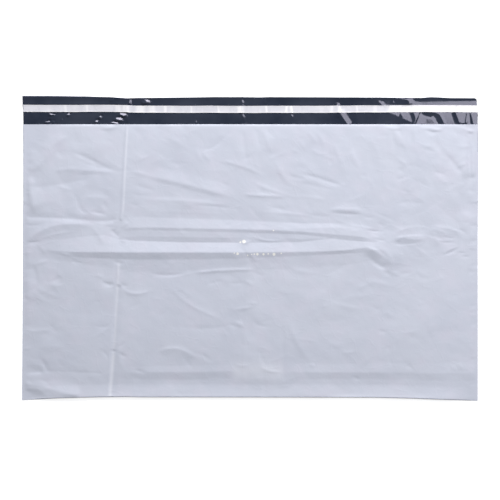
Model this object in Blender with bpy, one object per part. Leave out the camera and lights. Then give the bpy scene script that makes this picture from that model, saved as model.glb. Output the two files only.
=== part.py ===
# Poly mailer bag, empty and unfolded, lying face up with its adhesive flap open.
# One length of two-ply film is folded at the bottom and welded along both sides.
# Metres, +Z up. The origin is on the table under the bag's middle, and the flap points along +Y.

import math

import bmesh
import bpy

# Driving dimensions of the bag
MAILER_WIDTH = 0.825
POCKET_DEPTH = 0.500  # bottom fold to mouth
FLAP_LENGTH = 0.049  # mouth to the flap's free edge
SEAL_WIDTH = 0.006  # side weld
FOLD_WIDTH = 0.001  # pressed edge of the bottom fold

# Film, in closed solids thicker than the real 0.06 mm
OUTER_PLY = 0.0004
INNER_PLY = 0.00025
LAYER_GAP = 0.0003  # clearance between stacked layers
LINING_SEAM = 0.003  # solid rim of the inner ply inside the pocket

# Adhesive strip and its release liner on the flap
LINER_WIDTH = 0.0138
LINER_THICKNESS = 0.0002
LINER_SETBACK = 0.0144  # flap's free edge to the liner
LINER_END_GAP = 0.0008
ADHESIVE_WIDTH = 0.0090
ADHESIVE_THICKNESS = 0.0002
ADHESIVE_END_GAP = 0.004

# Height that the empty pocket stands open, and how far in from its edges it rises
LOFT = 0.0072
SIDE_RISE = 0.070
BOTTOM_RISE = 0.055
WAVE_HEIGHT = 0.0006
WAVE_LENGTH_X = 0.210
WAVE_LENGTH_Y = 0.165

# Pleat where the pack was folded across its middle: two crests beside a groove, measured along Y
PLEAT_PROFILE = {
    0.0560: 0.0,  # upper foot
    0.0360: 0.0026,  # upper crest
    0.0140: -0.0005,  # groove
    -0.0080: 0.0030,  # lower crest
    -0.0420: 0.0,  # lower foot
}
PLEAT_LEFT = -0.395
PLEAT_RIGHT = 0.215
PLEAT_FADE = 0.060
PLEAT_SLOPE = 0.026  # the upper lines drop this much per metre towards +X
PLEAT_LEAN_REACH = 0.080

# Creases of the folded pack that run along Y: place at the mouth and at the bottom, and height above
# and below the middle fold, where a ridge turns into a furrow
LENGTHWISE_CREASES = [
    {"mouth_x": -0.227, "bottom_x": -0.255, "upper": 0.0024, "lower": -0.0008},
    {"mouth_x": -0.012, "bottom_x": -0.010, "upper": 0.0009, "lower": -0.0005},
    {"mouth_x": 0.208, "bottom_x": 0.206, "upper": -0.0005, "lower": 0.0008},
]
CREASE_HALF_WIDTH = 0.009
CREASE_LEAN_REACH = 0.090

# Crease across the bag near the bottom fold
BOTTOM_CREASE_HEIGHT = 0.0013
BOTTOM_CREASE_OFFSET = 0.049  # above the bottom fold
BOTTOM_CREASE_HALF_WIDTH = 0.012

# The bottom edge is drawn in between the corners
BOTTOM_BOW = 0.004
BOTTOM_BOW_FLAT = 0.250  # half of the straight stretch
BOTTOM_BOW_REACH = 0.120

# Flap off the table: crease ridges, a gentle wave and the lifted right end
FLAP_BLEND = 0.018  # distance from the mouth over which the flap leaves the table
FLAP_CREASE_HEIGHT = 0.0012
FLAP_WAVE_HEIGHT = 0.0005
FLAP_WAVE_LENGTH = 0.170
FLAP_CURL_HEIGHT = 0.0035
FLAP_CURL_LENGTH = 0.110

# Spacing of the mesh between creases
COLUMN_STEP = 0.028
ROW_STEP = 0.030
LINE_MERGE = 0.0002

# Places worked out from the sizes above
HALF_WIDTH = MAILER_WIDTH / 2
BOTTOM_Y = -(POCKET_DEPTH + FLAP_LENGTH) / 2
MOUTH_Y = BOTTOM_Y + POCKET_DEPTH
FLAP_Y = MOUTH_Y + FLAP_LENGTH
WELD_X = HALF_WIDTH - SEAL_WIDTH
FOLD_Y = BOTTOM_Y + FOLD_WIDTH
LINER_Y = FLAP_Y - LINER_SETBACK - LINER_WIDTH / 2


def clamp01(value):
    return min(1.0, max(0.0, value))


def ramp(value):
    """0 to 1 with a soft start and end."""
    t = clamp01(value)
    return t * t * (3 - 2 * t)


def rise(share):
    """Share of the full height at this share of the run in from an edge."""
    return 1 - (1 - clamp01(share)) ** 2


def run_for(height_share):
    """Inverse of rise()."""
    return 1 - math.sqrt(1 - clamp01(height_share))


def tent(distance, half_width):
    return max(0.0, 1 - abs(distance) / half_width)


# Distance in from the weld and the fold at which the lining fits between the panels. Both rises meet
# at the pocket's corner, so each has to reach the square root of the share that the lining needs.
LINING_ROOM = 2 * (INNER_PLY + LAYER_GAP) + LAYER_GAP
LINING_RUN = run_for(math.sqrt(LINING_ROOM / (LOFT - WAVE_HEIGHT)))
LINING_X = WELD_X - LINING_RUN * SIDE_RISE
LINING_Y = FOLD_Y + LINING_RUN * BOTTOM_RISE


def crease_x(crease, y):
    """Place of a lengthwise crease at this height up the bag."""
    down = clamp01((MOUTH_Y - y) / POCKET_DEPTH)
    return crease["mouth_x"] + (crease["bottom_x"] - crease["mouth_x"]) * down


def crease_middle(crease):
    return (crease["mouth_x"] + crease["bottom_x"]) / 2


def pleat_drop(x, y):
    """How far the pleat's lines sit below their level places, which falls off above and below them."""
    lines = sorted(PLEAT_PROFILE, reverse=True)
    foot, groove, crest = lines[0], lines[2], lines[3]
    below = clamp01((y - crest) / (groove - crest))
    above = clamp01(1 - (y - foot) / PLEAT_LEAN_REACH)
    return PLEAT_SLOPE * x * min(below, above)


def lean(x, y):
    """Moves a mesh point of the flat film so that rows and columns lie along the slanting creases."""
    moved_x = x
    for crease in LENGTHWISE_CREASES:
        middle = crease_middle(crease)
        moved_x += (crease_x(crease, y) - middle) * tent(x - middle, CREASE_LEAN_REACH)
    edge = ramp((abs(x) - BOTTOM_BOW_FLAT) / (HALF_WIDTH - BOTTOM_BOW_FLAT))
    bow = BOTTOM_BOW * (1 - edge) * tent(y - BOTTOM_Y, BOTTOM_BOW_REACH)
    return moved_x, y - pleat_drop(x, y) + bow


def pleat_height(x, y):
    """Height of the middle pleat on the flat film, straight between its lines."""
    lines = sorted(PLEAT_PROFILE)
    along = ramp((x - PLEAT_LEFT) / PLEAT_FADE) * ramp((PLEAT_RIGHT - x) / PLEAT_FADE)
    for low, high in zip(lines, lines[1:]):
        if low <= y <= high:
            share = (y - low) / (high - low)
            return along * (PLEAT_PROFILE[low] * (1 - share) + PLEAT_PROFILE[high] * share)
    return 0.0


def crease_height(x, y):
    """Height of the lengthwise creases, which change sign across the middle fold."""
    groove = sorted(PLEAT_PROFILE)[2]
    return sum(
        (crease["upper"] if y > groove else crease["lower"])
        * tent(x - crease_middle(crease), CREASE_HALF_WIDTH)
        for crease in LENGTHWISE_CREASES
    )


def front_height(x, y):
    """Height of the front panel's outer face."""
    side = rise((WELD_X - abs(x)) / SIDE_RISE)
    bottom = rise((y - FOLD_Y) / BOTTOM_RISE)
    wave = math.sin(2 * math.pi * x / WAVE_LENGTH_X) * math.cos(2 * math.pi * y / WAVE_LENGTH_Y)
    cross = BOTTOM_CREASE_HEIGHT * tent(
        y - BOTTOM_Y - BOTTOM_CREASE_OFFSET, BOTTOM_CREASE_HALF_WIDTH
    )
    inside = clamp01((LINING_X - LINING_SEAM - abs(x)) / CREASE_HALF_WIDTH)
    folds = inside * (pleat_height(x, y) + crease_height(x, y) + cross)
    return 2 * OUTER_PLY + side * bottom * (LOFT + WAVE_HEIGHT * wave + folds)


def back_height(x, y):
    """Height of the back panel's underside: flat on the table under the pocket, wavy at the flap."""
    creases = FLAP_CREASE_HEIGHT * sum(
        tent(x - crease_middle(crease), CREASE_HALF_WIDTH) for crease in LENGTHWISE_CREASES
    )
    wave = FLAP_WAVE_HEIGHT * (1 + math.sin(2 * math.pi * x / FLAP_WAVE_LENGTH)) / 2
    curl = FLAP_CURL_HEIGHT * clamp01(1 - (HALF_WIDTH - x) / FLAP_CURL_LENGTH) ** 2
    return ramp((y - MOUTH_Y - LAYER_GAP) / FLAP_BLEND) * (creases + wave + curl)


def stations(lines, step):
    """The lines given, in order, with evenly spaced ones between them no further apart than step."""
    placed = []
    for line in sorted(lines):
        if not placed:
            placed.append(line)
        elif line - placed[-1] > LINE_MERGE:
            low = placed[-1]
            count = math.ceil((line - low) / step)
            placed += [low + (line - low) * n / count for n in range(1, count + 1)]
    return placed


def nearest(lines, place):
    return min(range(len(lines)), key=lambda n: abs(lines[n] - place))


def column_lines():
    """Mesh columns: both edges, welds and lining rims, strip ends, and each crease with its feet."""
    lines = []
    for distance in (
        HALF_WIDTH,
        HALF_WIDTH - LINER_END_GAP,
        HALF_WIDTH - ADHESIVE_END_GAP,
        WELD_X,
        LINING_X,
        LINING_X - LINING_SEAM,
    ):
        lines += [-distance, distance]
    for crease in LENGTHWISE_CREASES:
        for offset in (-CREASE_HALF_WIDTH, 0.0, CREASE_HALF_WIDTH):
            line = crease_middle(crease) + offset
            if abs(line) < LINING_X - LINING_SEAM:
                lines.append(line)
    return stations(lines, COLUMN_STEP)


def row_lines():
    """Mesh rows: the fold, the pleat's lines, the bottom crease, the mouth and the flap's strips."""
    lines = [BOTTOM_Y, FOLD_Y, LINING_Y, LINING_Y + LINING_SEAM, MOUTH_Y, MOUTH_Y + LAYER_GAP]
    crease = BOTTOM_Y + BOTTOM_CREASE_OFFSET
    pressed = [crease + side * BOTTOM_CREASE_HALF_WIDTH for side in (-1, 0, 1)]
    lines += [y for y in [*PLEAT_PROFILE, *pressed] if LINING_Y + LINING_SEAM < y < MOUTH_Y]
    for width in (LINER_WIDTH, ADHESIVE_WIDTH):
        lines += [LINER_Y - width / 2, LINER_Y + width / 2]
    lines += [MOUTH_Y + LAYER_GAP + FLAP_BLEND / 2, FLAP_Y]
    return stations(lines, ROW_STEP)


COLUMNS = column_lines()
ROWS = row_lines()

# A cell of the mesh is back film alone, front and back film round the hollow, or both welded into one.
BACK = "back"
HOLLOW = "hollow"
WELDED = "welded"
SKINS = {
    BACK: ("under", "floor"),
    HOLLOW: ("under", "floor", "roof", "top"),
    WELDED: ("under", "top"),
}
WALLS = {
    frozenset((None, BACK)): ("under", "floor"),
    frozenset((None, WELDED)): ("under", "floor", "top"),
    frozenset((BACK, WELDED)): ("floor", "top"),
    frozenset((BACK, HOLLOW)): ("roof", "top"),
}


class LayeredSheet:
    """A closed sheet of film over the cells that it covers, with a height for each of its skins."""

    def __init__(self, kind_of_cell, heights):
        self.kind_of_cell = kind_of_cell
        self.heights = heights
        self.mesh = bmesh.new()
        self.points = {}

    def kind(self, column, row):
        if 0 <= column < len(COLUMNS) - 1 and 0 <= row < len(ROWS) - 1:
            return self.kind_of_cell(column, row)
        return None

    def point(self, skin, column, row):
        """The mesh point of a skin. Roof and floor meet in one point along a weld."""
        around = {self.kind(column - a, row - b) for a in (0, 1) for b in (0, 1)}
        if skin == "roof" and WELDED in around:
            skin = "floor"
        key = (skin, column, row)
        if key not in self.points:
            x, y = COLUMNS[column], ROWS[row]
            self.points[key] = self.mesh.verts.new((*lean(x, y), self.heights[skin](x, y)))
        return self.points[key]

    def add_skins(self, column, row):
        corners = [(column, row), (column + 1, row), (column + 1, row + 1), (column, row + 1)]
        for skin in SKINS[self.kind(column, row)]:
            a, b, c, d = (self.point(skin, *corner) for corner in corners)
            # Mirrored diagonals, so that no triangle has all its points in the corner of a weld
            halves = ((a, b, c), (a, c, d)) if COLUMNS[column] < 0 else ((a, b, d), (b, c, d))
            for half in halves:
                self.mesh.faces.new(half)

    def add_wall(self, cell, neighbour, start, end):
        between = frozenset((self.kind(*cell), self.kind(*neighbour)))
        if between not in WALLS:
            return
        levels = WALLS[between]
        for lower, upper in zip(levels, levels[1:]):
            corners = [(lower, start), (lower, end), (upper, end), (upper, start)]
            points = [self.point(skin, *place) for skin, place in corners]
            distinct = [p for n, p in enumerate(points) if p is not points[n - 1]]
            if len(distinct) > 2:
                self.mesh.faces.new(distinct)

    def build(self):
        for column in range(len(COLUMNS)):
            for row in range(len(ROWS)):
                if self.kind(column, row):
                    self.add_skins(column, row)
                self.add_wall((column, row), (column - 1, row), (column, row), (column, row + 1))
                self.add_wall((column, row), (column, row - 1), (column, row), (column + 1, row))
        bmesh.ops.recalc_face_normals(self.mesh, faces=self.mesh.faces)
        return self.mesh


def film_material(name, colour, roughness):
    material = bpy.data.materials.new(name)
    material.use_nodes = True
    shader = material.node_tree.nodes["Principled BSDF"]
    shader.inputs["Base Color"].default_value = (*colour, 1.0)
    shader.inputs["Roughness"].default_value = roughness
    shader.inputs["Metallic"].default_value = 0.0
    return material


def add_sheet(name, kind_of_cell, heights, material, parent):
    mesh = bpy.data.meshes.new(name)
    sheet = LayeredSheet(kind_of_cell, heights).build()
    sheet.to_mesh(mesh)
    sheet.free()
    mesh.materials.append(material)
    mesh.shade_smooth()
    mesh.set_sharp_from_angle(angle=math.radians(40))
    item = bpy.data.objects.new(name, mesh)
    item.parent = parent
    bpy.context.scene.collection.objects.link(item)
    return item


def folded_ply(rim_x, rim_y, hollow_x, hollow_y, wide_row):
    """Cells of a ply folded round the pocket, full width from wide_row up and inside the rim below it."""
    mouth = nearest(ROWS, MOUTH_Y)
    first, last = nearest(COLUMNS, -rim_x), nearest(COLUMNS, rim_x)
    inner_first, inner_last = nearest(COLUMNS, -hollow_x), nearest(COLUMNS, hollow_x)
    bottom, inner_bottom = nearest(ROWS, rim_y), nearest(ROWS, hollow_y)

    def kind(column, row):
        if row >= wide_row:
            return BACK
        if not first <= column < last or row < bottom:
            return None
        if row >= mouth:
            return BACK
        hollow = inner_first <= column < inner_last and row >= inner_bottom
        return HOLLOW if hollow else WELDED

    return kind


def strip(width, end_gap):
    """Cells of a straight strip along the flap."""
    first = nearest(COLUMNS, -HALF_WIDTH + end_gap)
    last = nearest(COLUMNS, HALF_WIDTH - end_gap)
    bottom, top = nearest(ROWS, LINER_Y - width / 2), nearest(ROWS, LINER_Y + width / 2)

    def kind(column, row):
        return BACK if first <= column < last and bottom <= row < top else None

    return kind


def stacked(lift, thickness):
    """Heights of a single layer this far above the flap's underside."""
    return {
        "under": lambda x, y: back_height(x, y) + lift,
        "floor": lambda x, y: back_height(x, y) + lift + thickness,
    }


def pocketed(lift, thickness):
    """Heights of a ply this far in from both faces of the bag."""
    return {
        **stacked(lift, thickness),
        "roof": lambda x, y: front_height(x, y) - lift - thickness,
        "top": lambda x, y: front_height(x, y) - lift,
    }


def clear_scene():
    for item in list(bpy.data.objects):
        bpy.data.objects.remove(item, do_unlink=True)


def build_mailer():
    clear_scene()
    mailer = bpy.data.objects.new("poly_mailer", None)
    bpy.context.scene.collection.objects.link(mailer)
    mouth = nearest(ROWS, MOUTH_Y)

    add_sheet(
        "outer_film_ply",
        folded_ply(HALF_WIDTH, BOTTOM_Y, WELD_X, FOLD_Y, mouth),
        pocketed(0.0, OUTER_PLY),
        film_material("pale_grey_film", (0.60, 0.64, 0.75), 0.38),
        mailer,
    )
    lining_lift = OUTER_PLY + LAYER_GAP
    add_sheet(
        "inner_film_ply",
        folded_ply(LINING_X, LINING_Y, LINING_X - LINING_SEAM, LINING_Y + LINING_SEAM, mouth + 1),
        pocketed(lining_lift, INNER_PLY),
        film_material("dark_film", (0.030, 0.038, 0.056), 0.22),
        mailer,
    )
    adhesive_lift = lining_lift + INNER_PLY + LAYER_GAP
    add_sheet(
        "adhesive_strip",
        strip(ADHESIVE_WIDTH, ADHESIVE_END_GAP),
        stacked(adhesive_lift, ADHESIVE_THICKNESS),
        film_material("clear_adhesive", (0.62, 0.58, 0.48), 0.15),
        mailer,
    )
    add_sheet(
        "release_liner",
        strip(LINER_WIDTH, LINER_END_GAP),
        stacked(adhesive_lift + ADHESIVE_THICKNESS + LAYER_GAP, LINER_THICKNESS),
        film_material("white_liner", (0.80, 0.79, 0.83), 0.28),
        mailer,
    )


build_mailer()
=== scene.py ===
# Poly mailer bag on a white table, face up with its flap open, creased from the pack it came in
# Lengths below are millimetres from the middle of the bag: x to the right, y towards the flap, z up

import math

import bpy
import numpy as np
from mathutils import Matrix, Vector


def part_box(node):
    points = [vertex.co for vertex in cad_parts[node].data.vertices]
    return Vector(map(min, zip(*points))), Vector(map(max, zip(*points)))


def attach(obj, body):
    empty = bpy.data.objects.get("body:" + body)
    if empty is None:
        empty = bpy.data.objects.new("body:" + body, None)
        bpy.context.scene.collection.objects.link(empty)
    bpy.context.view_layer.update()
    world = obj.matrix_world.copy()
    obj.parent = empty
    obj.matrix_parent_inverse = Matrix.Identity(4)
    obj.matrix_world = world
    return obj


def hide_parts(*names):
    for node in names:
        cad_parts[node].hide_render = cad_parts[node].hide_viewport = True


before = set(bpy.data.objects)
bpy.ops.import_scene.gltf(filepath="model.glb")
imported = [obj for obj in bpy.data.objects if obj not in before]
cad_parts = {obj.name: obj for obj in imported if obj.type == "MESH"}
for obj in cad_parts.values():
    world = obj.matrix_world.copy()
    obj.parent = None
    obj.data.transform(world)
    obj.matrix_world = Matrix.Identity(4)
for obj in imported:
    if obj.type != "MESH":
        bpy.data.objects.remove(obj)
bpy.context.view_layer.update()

mm = 0.001
filmLow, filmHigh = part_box("outer_film_ply")
linerLow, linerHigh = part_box("release_liner")
glueLow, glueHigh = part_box("adhesive_strip")
halfWidth = filmHigh[0] / mm
foldY = filmLow[1] / mm
flapEdgeY = filmHigh[1] / mm
linerY = (linerLow[1] + linerHigh[1]) / 2 / mm

# The bag's own shape. The mouth is where the front panel ends and the dark flap begins.
bag = {
    "mouthY": 225.0,
    "skin": 0.25,  # from the pale side of the film to the dark side
    "loft": 5.0,  # air left in the pocket
    "sideRun": 125.0,  # how far in from a side the loft is reached
    "sideStart": 0.24,  # share of the loft that is reached close to the side weld
    "sideStartRun": 15.0,
    "mouthRun": 85.0,
    "mouthFall": 1.7,  # how much lower the front lies at the mouth
    "bottomRun": 140.0,
    "bottomStart": 0.36,
    "foldLoop": 3.2,  # height of the springy bottom fold in the middle
    "foldLoopCorner": 0.7,
    "loopBase": 0.6,
    "loopBow": 1.3,  # how steeply the loop falls away behind the fold
    "cornerRun": 70.0,  # how far in from a side the fold has its full height
    "foldHollow": 24.0,  # from the fold to the hollow behind it
    "hollowCorner": 0.4,  # height of the hollow at a corner, and what the middle adds to it
    "hollowMiddle": 2.0,
    "hollowLoft": 0.11,
    "foldRound": 1.7,  # how far in the fold's rounding reaches
    "foldEdge": 0.12,  # share of its height that is left at the very edge
    "lipFall": 0.9,  # how far the film bends down at the mouth
    "lipRun": 4.0,
    "lipSideRun": 20.0,
    "seamFade": 11.0,  # creases die away this close to a side weld
    "foldFade": 4.0,  # and over this much around the bottom fold
}

# How the outline strays from a plain rectangle: place along the edge, then how far
outline = {
    "bottom": [(-413, -0.6), (-385, 1.0), (-345, 3.2), (-300, 4.4), (-262, 5.2), (-220, 5.6), (-200, 4.9),
               (0, 4.8), (230, 4.2), (300, 2.4), (350, 0.4), (413, -1.6)],
    "left": [(-275, -1.6), (-150, -0.7), (0, 0.0), (50, 0.2), (88, 1.4), (215, 1.2), (229, 0.9),
             (246, 0.8), (259, -0.4), (276, -0.6)],
    "right": [(-275, -0.2), (-150, -0.4), (60, 0.0), (106, 0.7), (178, 1.0), (215, 0.6), (230, -0.2),
              (242, 0.2), (262, -1.6), (276, -2.4)],
    "flap": [(-413, 3.0), (-345, 2.5), (-300, 1.6), (-273, 0.7), (-254, 0.3), (-236, -0.8), (-222, -1.9),
             (-205, -1.3), (-164, -0.9), (-109, -0.2), (-64, 0.5), (-18, 0.4), (18, -0.1), (33, 0.4),
             (91, 0.2), (170, 0.0), (236, -0.3), (309, -1.1), (327, 0.4), (345, -0.3), (363, -1.4),
             (413, -1.5)],
}

# Mesh spacing, closer where the sharp folds run
weave = {
    "columnStep": 3.25,
    "rowStep": 2.2,
    "fineColumns": [(-236.0, 12.0, 1.4)],
    "fineRows": [(14.0, 34.0, 0.9), (-272.0, 3.0, 2.2), (-226.0, 14.0, 0.3)],
    "hiddenRows": 8,
    "flapRows": [(225.6, 247.0, 16), (250.5, 257.0, 3), (260.0, 274.0, 10)],
    "underRows": 13,
    "underFlapRows": 5,
    "foldColumn": -236.0,  # the column that follows the lengthwise fold
    # y and x of that fold
    "foldLine": [(-276, -256), (-186, -250), (-64, -239), (50, -234), (190, -226), (228, -223)],
    "foldRun": 110.0,
    "fineShare": 12,  # fine rows looked at for each row of a hidden skin
}

# How far in from an edge of the bag its strays die away
outlineFade = {"bottom": 120.0, "flap": 14.0, "sides": 60.0}


def ramp(value):
    t = np.clip(value, 0.0, 1.0)
    return t * t * (3 - 2 * t)


def rise(value):
    return 1 - (1 - np.clip(value, 0.0, 1.0)) ** 2


gridSide = 64  # a noise repeats after this many cells


def seededGrid(seed):
    dice = np.random.default_rng(seed)
    return dice.uniform(-1, 1, (gridSide, gridSide)), dice.uniform(0, math.pi)


def onGrid(x, y, cell, turn):
    # Where each point lies on a turned grid of cells
    u = (x * math.cos(turn) + y * math.sin(turn)) / cell + 500.0
    v = (y * math.cos(turn) - x * math.sin(turn)) / cell + 500.0
    return u, v


def cornerValues(table, u, v):
    # The table's values at the four corners of each point's cell, and how far into the cell it lies
    iu, iv = np.floor(u).astype(int), np.floor(v).astype(int)
    cells = ((iu, iv), (iu + 1, iv), (iu, iv + 1), (iu + 1, iv + 1))
    return [table[i % gridSide, j % gridSide] for i, j in cells], u - iu, v - iv


def softNoise(x, y, cell, seed):
    # Smooth seeded hills and dips, about one to a cell, from -1 to 1
    table, turn = seededGrid(seed)
    (a, b, c, d), fu, fv = cornerValues(table, *onGrid(x, y, cell, turn))
    fu = fu * fu * fu * (fu * (fu * 6 - 15) + 10)
    fv = fv * fv * fv * (fv * (fv * 6 - 15) + 10)
    return (a * (1 - fu) + b * fu) * (1 - fv) + (c * (1 - fu) + d * fu) * fv


def facetNoise(x, y, cell, seed):
    # Seeded flat facets with straight folds between them, as crumpled film has, from -1 to 1
    table, turn = seededGrid(seed)
    bentX = x + 0.55 * cell * softNoise(x, y, cell * 1.8, seed + 1)
    bentY = y + 0.55 * cell * softNoise(x, y, cell * 1.8, seed + 2)
    u, v = onGrid(bentX, bentY, cell, turn)
    (a, b, c, d), fu, fv = cornerValues(table, u + v * 0.577, v * 1.155)
    lower = a + fu * (b - a) + fv * (c - a)
    upper = d + (1 - fu) * (c - d) + (1 - fv) * (b - d)
    return np.where(fu + fv < 1, lower, upper)


def layer(noise, x, y, cell, height, seed):
    return height * noise(x, y, cell, seed)


def addLayers(z, x, y, noise, layers, share=1.0):
    # Adds a noise at several sizes, each with its spacing, height and seed
    for settings in layers:
        z += layer(noise, x, y, *settings) * share


def readOff(pairs, at):
    # The value at a place, from a list of places and values
    places, values = zip(*pairs)
    return np.interp(at, places, values)


def rounded(path):
    # Corners of a drawn line cut twice, which leaves its ends in place
    points = [np.array(p, dtype=float) for p in path]
    for _ in range(2 if len(points) > 2 else 0):
        cut = [points[0]]
        for a, b in zip(points, points[1:]):
            cut += [a * 0.75 + b * 0.25, a * 0.25 + b * 0.75]
        points = [*cut, points[-1]]
    return np.array(points)


# What all creases have in common
creaseShape = {
    "slackRun": 2.6,
    "blunt": 0.6,  # how round the top is
    "endWidth": 0.4,  # share of the reach that is left at the ends
    "smallReach": 10.0,  # the front's creases are drawn a little wide below this, because the photo is soft
    "smallShare": 0.9,
}


def bothSides(reach):
    return reach if isinstance(reach, tuple) else (reach, reach)


def addCrease(z, x, y, path, height, reach, bow=2.0, fade=0.45, slack=0.4):
    # Raises or lowers z along a line. reach is how far it goes to each side, left of the line first.
    # bow 1 is a roof with flat sides and 2 a pinched ridge. fade is the share lost to each end.
    # slack is the share of the height that dies away slowly, over slackRun times the reach.
    slackRun, blunt, endWidth = (creaseShape[name] for name in ("slackRun", "blunt", "endWidth"))
    left, right = bothSides(reach)
    points = rounded(path)
    wide = max(left, right) * (slackRun if slack else 1)
    low, high = points.min(0) - wide, points.max(0) + wide
    near = (x > low[0]) & (x < high[0]) & (y > low[1]) & (y < high[1])
    if not near.any():
        return
    px, py = x[near], y[near]
    best = np.full(px.shape, 1e9)
    side = np.zeros(px.shape)
    along = np.zeros(px.shape)
    steps = np.hypot(*np.diff(points, axis=0).T)
    total, done = steps.sum(), 0.0
    for (ax, ay), (bx, by), step in zip(points, points[1:], steps):
        dx, dy = (bx - ax) / step, (by - ay) / step
        t = np.clip((px - ax) * dx + (py - ay) * dy, 0, step)
        away = np.hypot(px - ax - t * dx, py - ay - t * dy)
        closer = away < best
        best = np.where(closer, away, best)
        side = np.where(closer, dx * (py - ay) - dy * (px - ax), side)
        along = np.where(closer, (done + t) / total, along)
        done += step
    ends = ramp(along / fade) * ramp((1 - along) / fade) if fade else np.ones_like(along)
    span = np.where(side > 0, left, right) * (endWidth + (1 - endWidth) * ends)
    share = (np.sqrt(best**2 + blunt**2) - blunt) / span
    sharpPart = (1 - slack) * np.clip(1 - share, 0, 1) ** bow
    slackPart = slack * np.clip(1 - share / slackRun, 0, 1) ** 2
    z[near] += height * (sharpPart + slackPart) * ends


def addCreases(z, x, y, creases, smallShare=1.0):
    # Each crease is its line, its height, its reach and how it differs from most, if it does
    small = creaseShape["smallReach"]
    for path, height, reach, *more in creases:
        sides = tuple(side * (smallShare if side < small else 1.0) for side in bothSides(reach))
        addCrease(z, x, y, path, height, sides, **(more[0] if more else {}))


def addFacet(z, x, y, centre, size, turn, tilt):
    # Tips a small patch of film: tilt is how much it faces +x and +y
    rim = 0.25  # how much of its size it fades over, inwards and outwards
    c, s = math.cos(math.radians(turn)), math.sin(math.radians(turn))
    dx, dy = x - centre[0], y - centre[1]
    u, v = (dx * c + dy * s) / size[0], (dy * c - dx * s) / size[1]
    away = (np.abs(u) ** 3 + np.abs(v) ** 3) ** (1 / 3)
    z -= (dx * tilt[0] + dy * tilt[1]) * ramp((1 + rim - away) / (2 * rim))


# The pleat across the middle, where the pack was folded. Each line is x, y and height from left to right.
pleat = {
    "above": [(-232, 74, 0.0), (218, 55, 0.0)],
    "upperFoot": [(-232, 57, 0.0), (-205, 57.2, -0.1), (-182, 56.7, -0.1), (-73, 53.1, -0.15),
                  (36, 48.5, -0.1), (91, 45.8, -0.1), (145, 45.4, 0.0), (182, 43.1, 0.0), (218, 39, 0.0)],
    "upperCrest": [(-240, 36, 0.0), (-214, 38.2, 1.4), (-182, 38.2, 1.65), (-73, 36.1, 1.8),
                   (36, 33.6, 1.9), (64, 34.6, 1.7), (91, 36.1, 1.5), (145, 37.6, 1.5), (182, 36.7, 0.9),
                   (203, 34.9, 0.7), (224, 30, 0.0)],
    "wedgeEnd": [(-240, 35.6, 0.0), (-214, 37.8, 1.4), (-182, 37.8, 1.65), (-73, 35.7, 1.8),
                 (36, 33.1, 1.9), (91, 30.4, 1.85), (145, 26.1, 2.1), (182, 23.1, 1.95), (203, 20.7, 1.6),
                 (216, 18.0, 0.8), (232, 14.0, 0.0)],
    "dropEnd": [(-240, 30, 0.0), (-214, 33.0, 0.85), (-182, 33.1, 1.0), (-73, 30.4, 1.1), (36, 27.3, 0.9),
                (91, 25.3, 0.95), (145, 19.5, 1.2), (182, 14.9, 0.9), (203, 13.5, 0.7), (232, 11.0, 0.0)],
    "grooveStart": [(-240, 20, 0.0), (-214, 21.6, 0.7), (-182, 21.6, 0.8), (-73, 19.8, 1.0),
                    (-18, 19.5, 0.9), (36, 20.4, 0.85), (91, 17.1, 1.05), (145, 18.8, 1.15),
                    (182, 14.6, 0.85), (232, 10.5, 0.0)],
    "groove": [(-345, 16, 0.0), (-300, 22, 0.0), (-262, 24, 0.0), (-240, 16, -0.1), (-214, 14.2, -0.1),
               (-127, 11.4, -0.1), (-73, 10.7, -0.1), (-30, 10.6, 0.1), (-14, 10.6, 0.6), (36, 10.8, 0.3),
               (91, 11.5, 0.5), (145, 18.2, 1.1), (182, 14.2, 0.8), (209, 11.5, 0.6), (236, 9.0, 0.0)],
    "lowerCrest": [(-380, -1, 0.0), (-352, -4.5, 1.1), (-318, -6.2, 2.1), (-270, -6.6, 3.3),
                   (-212, -7.0, 3.5), (0, -7.2, 3.5), (64, -6.6, 2.9), (118, -5.4, 2.7), (145, -4.4, 2.7),
                   (173, -3.0, 2.6), (191, -0.8, 2.2), (209, 2.0, 1.5), (236, 4.5, 0.0)],
    "lowerFall": [(-380, -8, 0.0), (-352, -10.5, 0.5), (-300, -17.0, 0.6), (-212, -20.0, 1.0),
                  (-90, -19.5, 1.2), (0, -17.5, 1.5), (64, -14.5, 1.5), (118, -11.8, 1.4),
                  (145, -10.8, 1.3), (191, -8.0, 1.0), (236, -6.0, 0.0)],
    "lowerFoot": [(-380, -16, 0.0), (-212, -42.0, 0.0), (58, -38.0, 0.0), (191, -28.0, 0.0),
                  (236, -18, 0.0)],
}

# The crease along the bottom, laid out the same way
bottomPleat = {
    "above": [(-420, -216, 0), (-240, -214, 0), (0, -210, 0), (420, -206, 0)],
    "crest": [(-420, -224.0, -0.12), (-330, -225.0, -0.12), (-262, -226.0, -0.1), (-232, -225.0, 0.06),
              (-190, -224.0, 0.55), (-110, -224.0, 0.70), (-60, -223.0, 0.55), (-38, -222.5, 0.4),
              (-28, -222.5, 0.1), (56, -223.5, 0.1), (80, -223.5, 0.5), (110, -224.0, 0.7),
              (220, -224.5, 0.69), (300, -225.5, 0.5), (420, -226.5, 0.75)],
    "fall": [(-420, -231.0, 0.12), (-262, -232.0, 0), (-232, -234.0, 0), (-190, -237.0, -0.31),
             (-110, -238.0, -0.38), (-38, -236.0, -0.1), (-28, -236.0, 0.3), (56, -236.0, 0.3),
             (110, -236.0, -0.12), (220, -236.0, 0), (420, -241.0, -0.12)],
    "below": [(-420, -256, 0), (420, -256, 0)],
}


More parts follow.
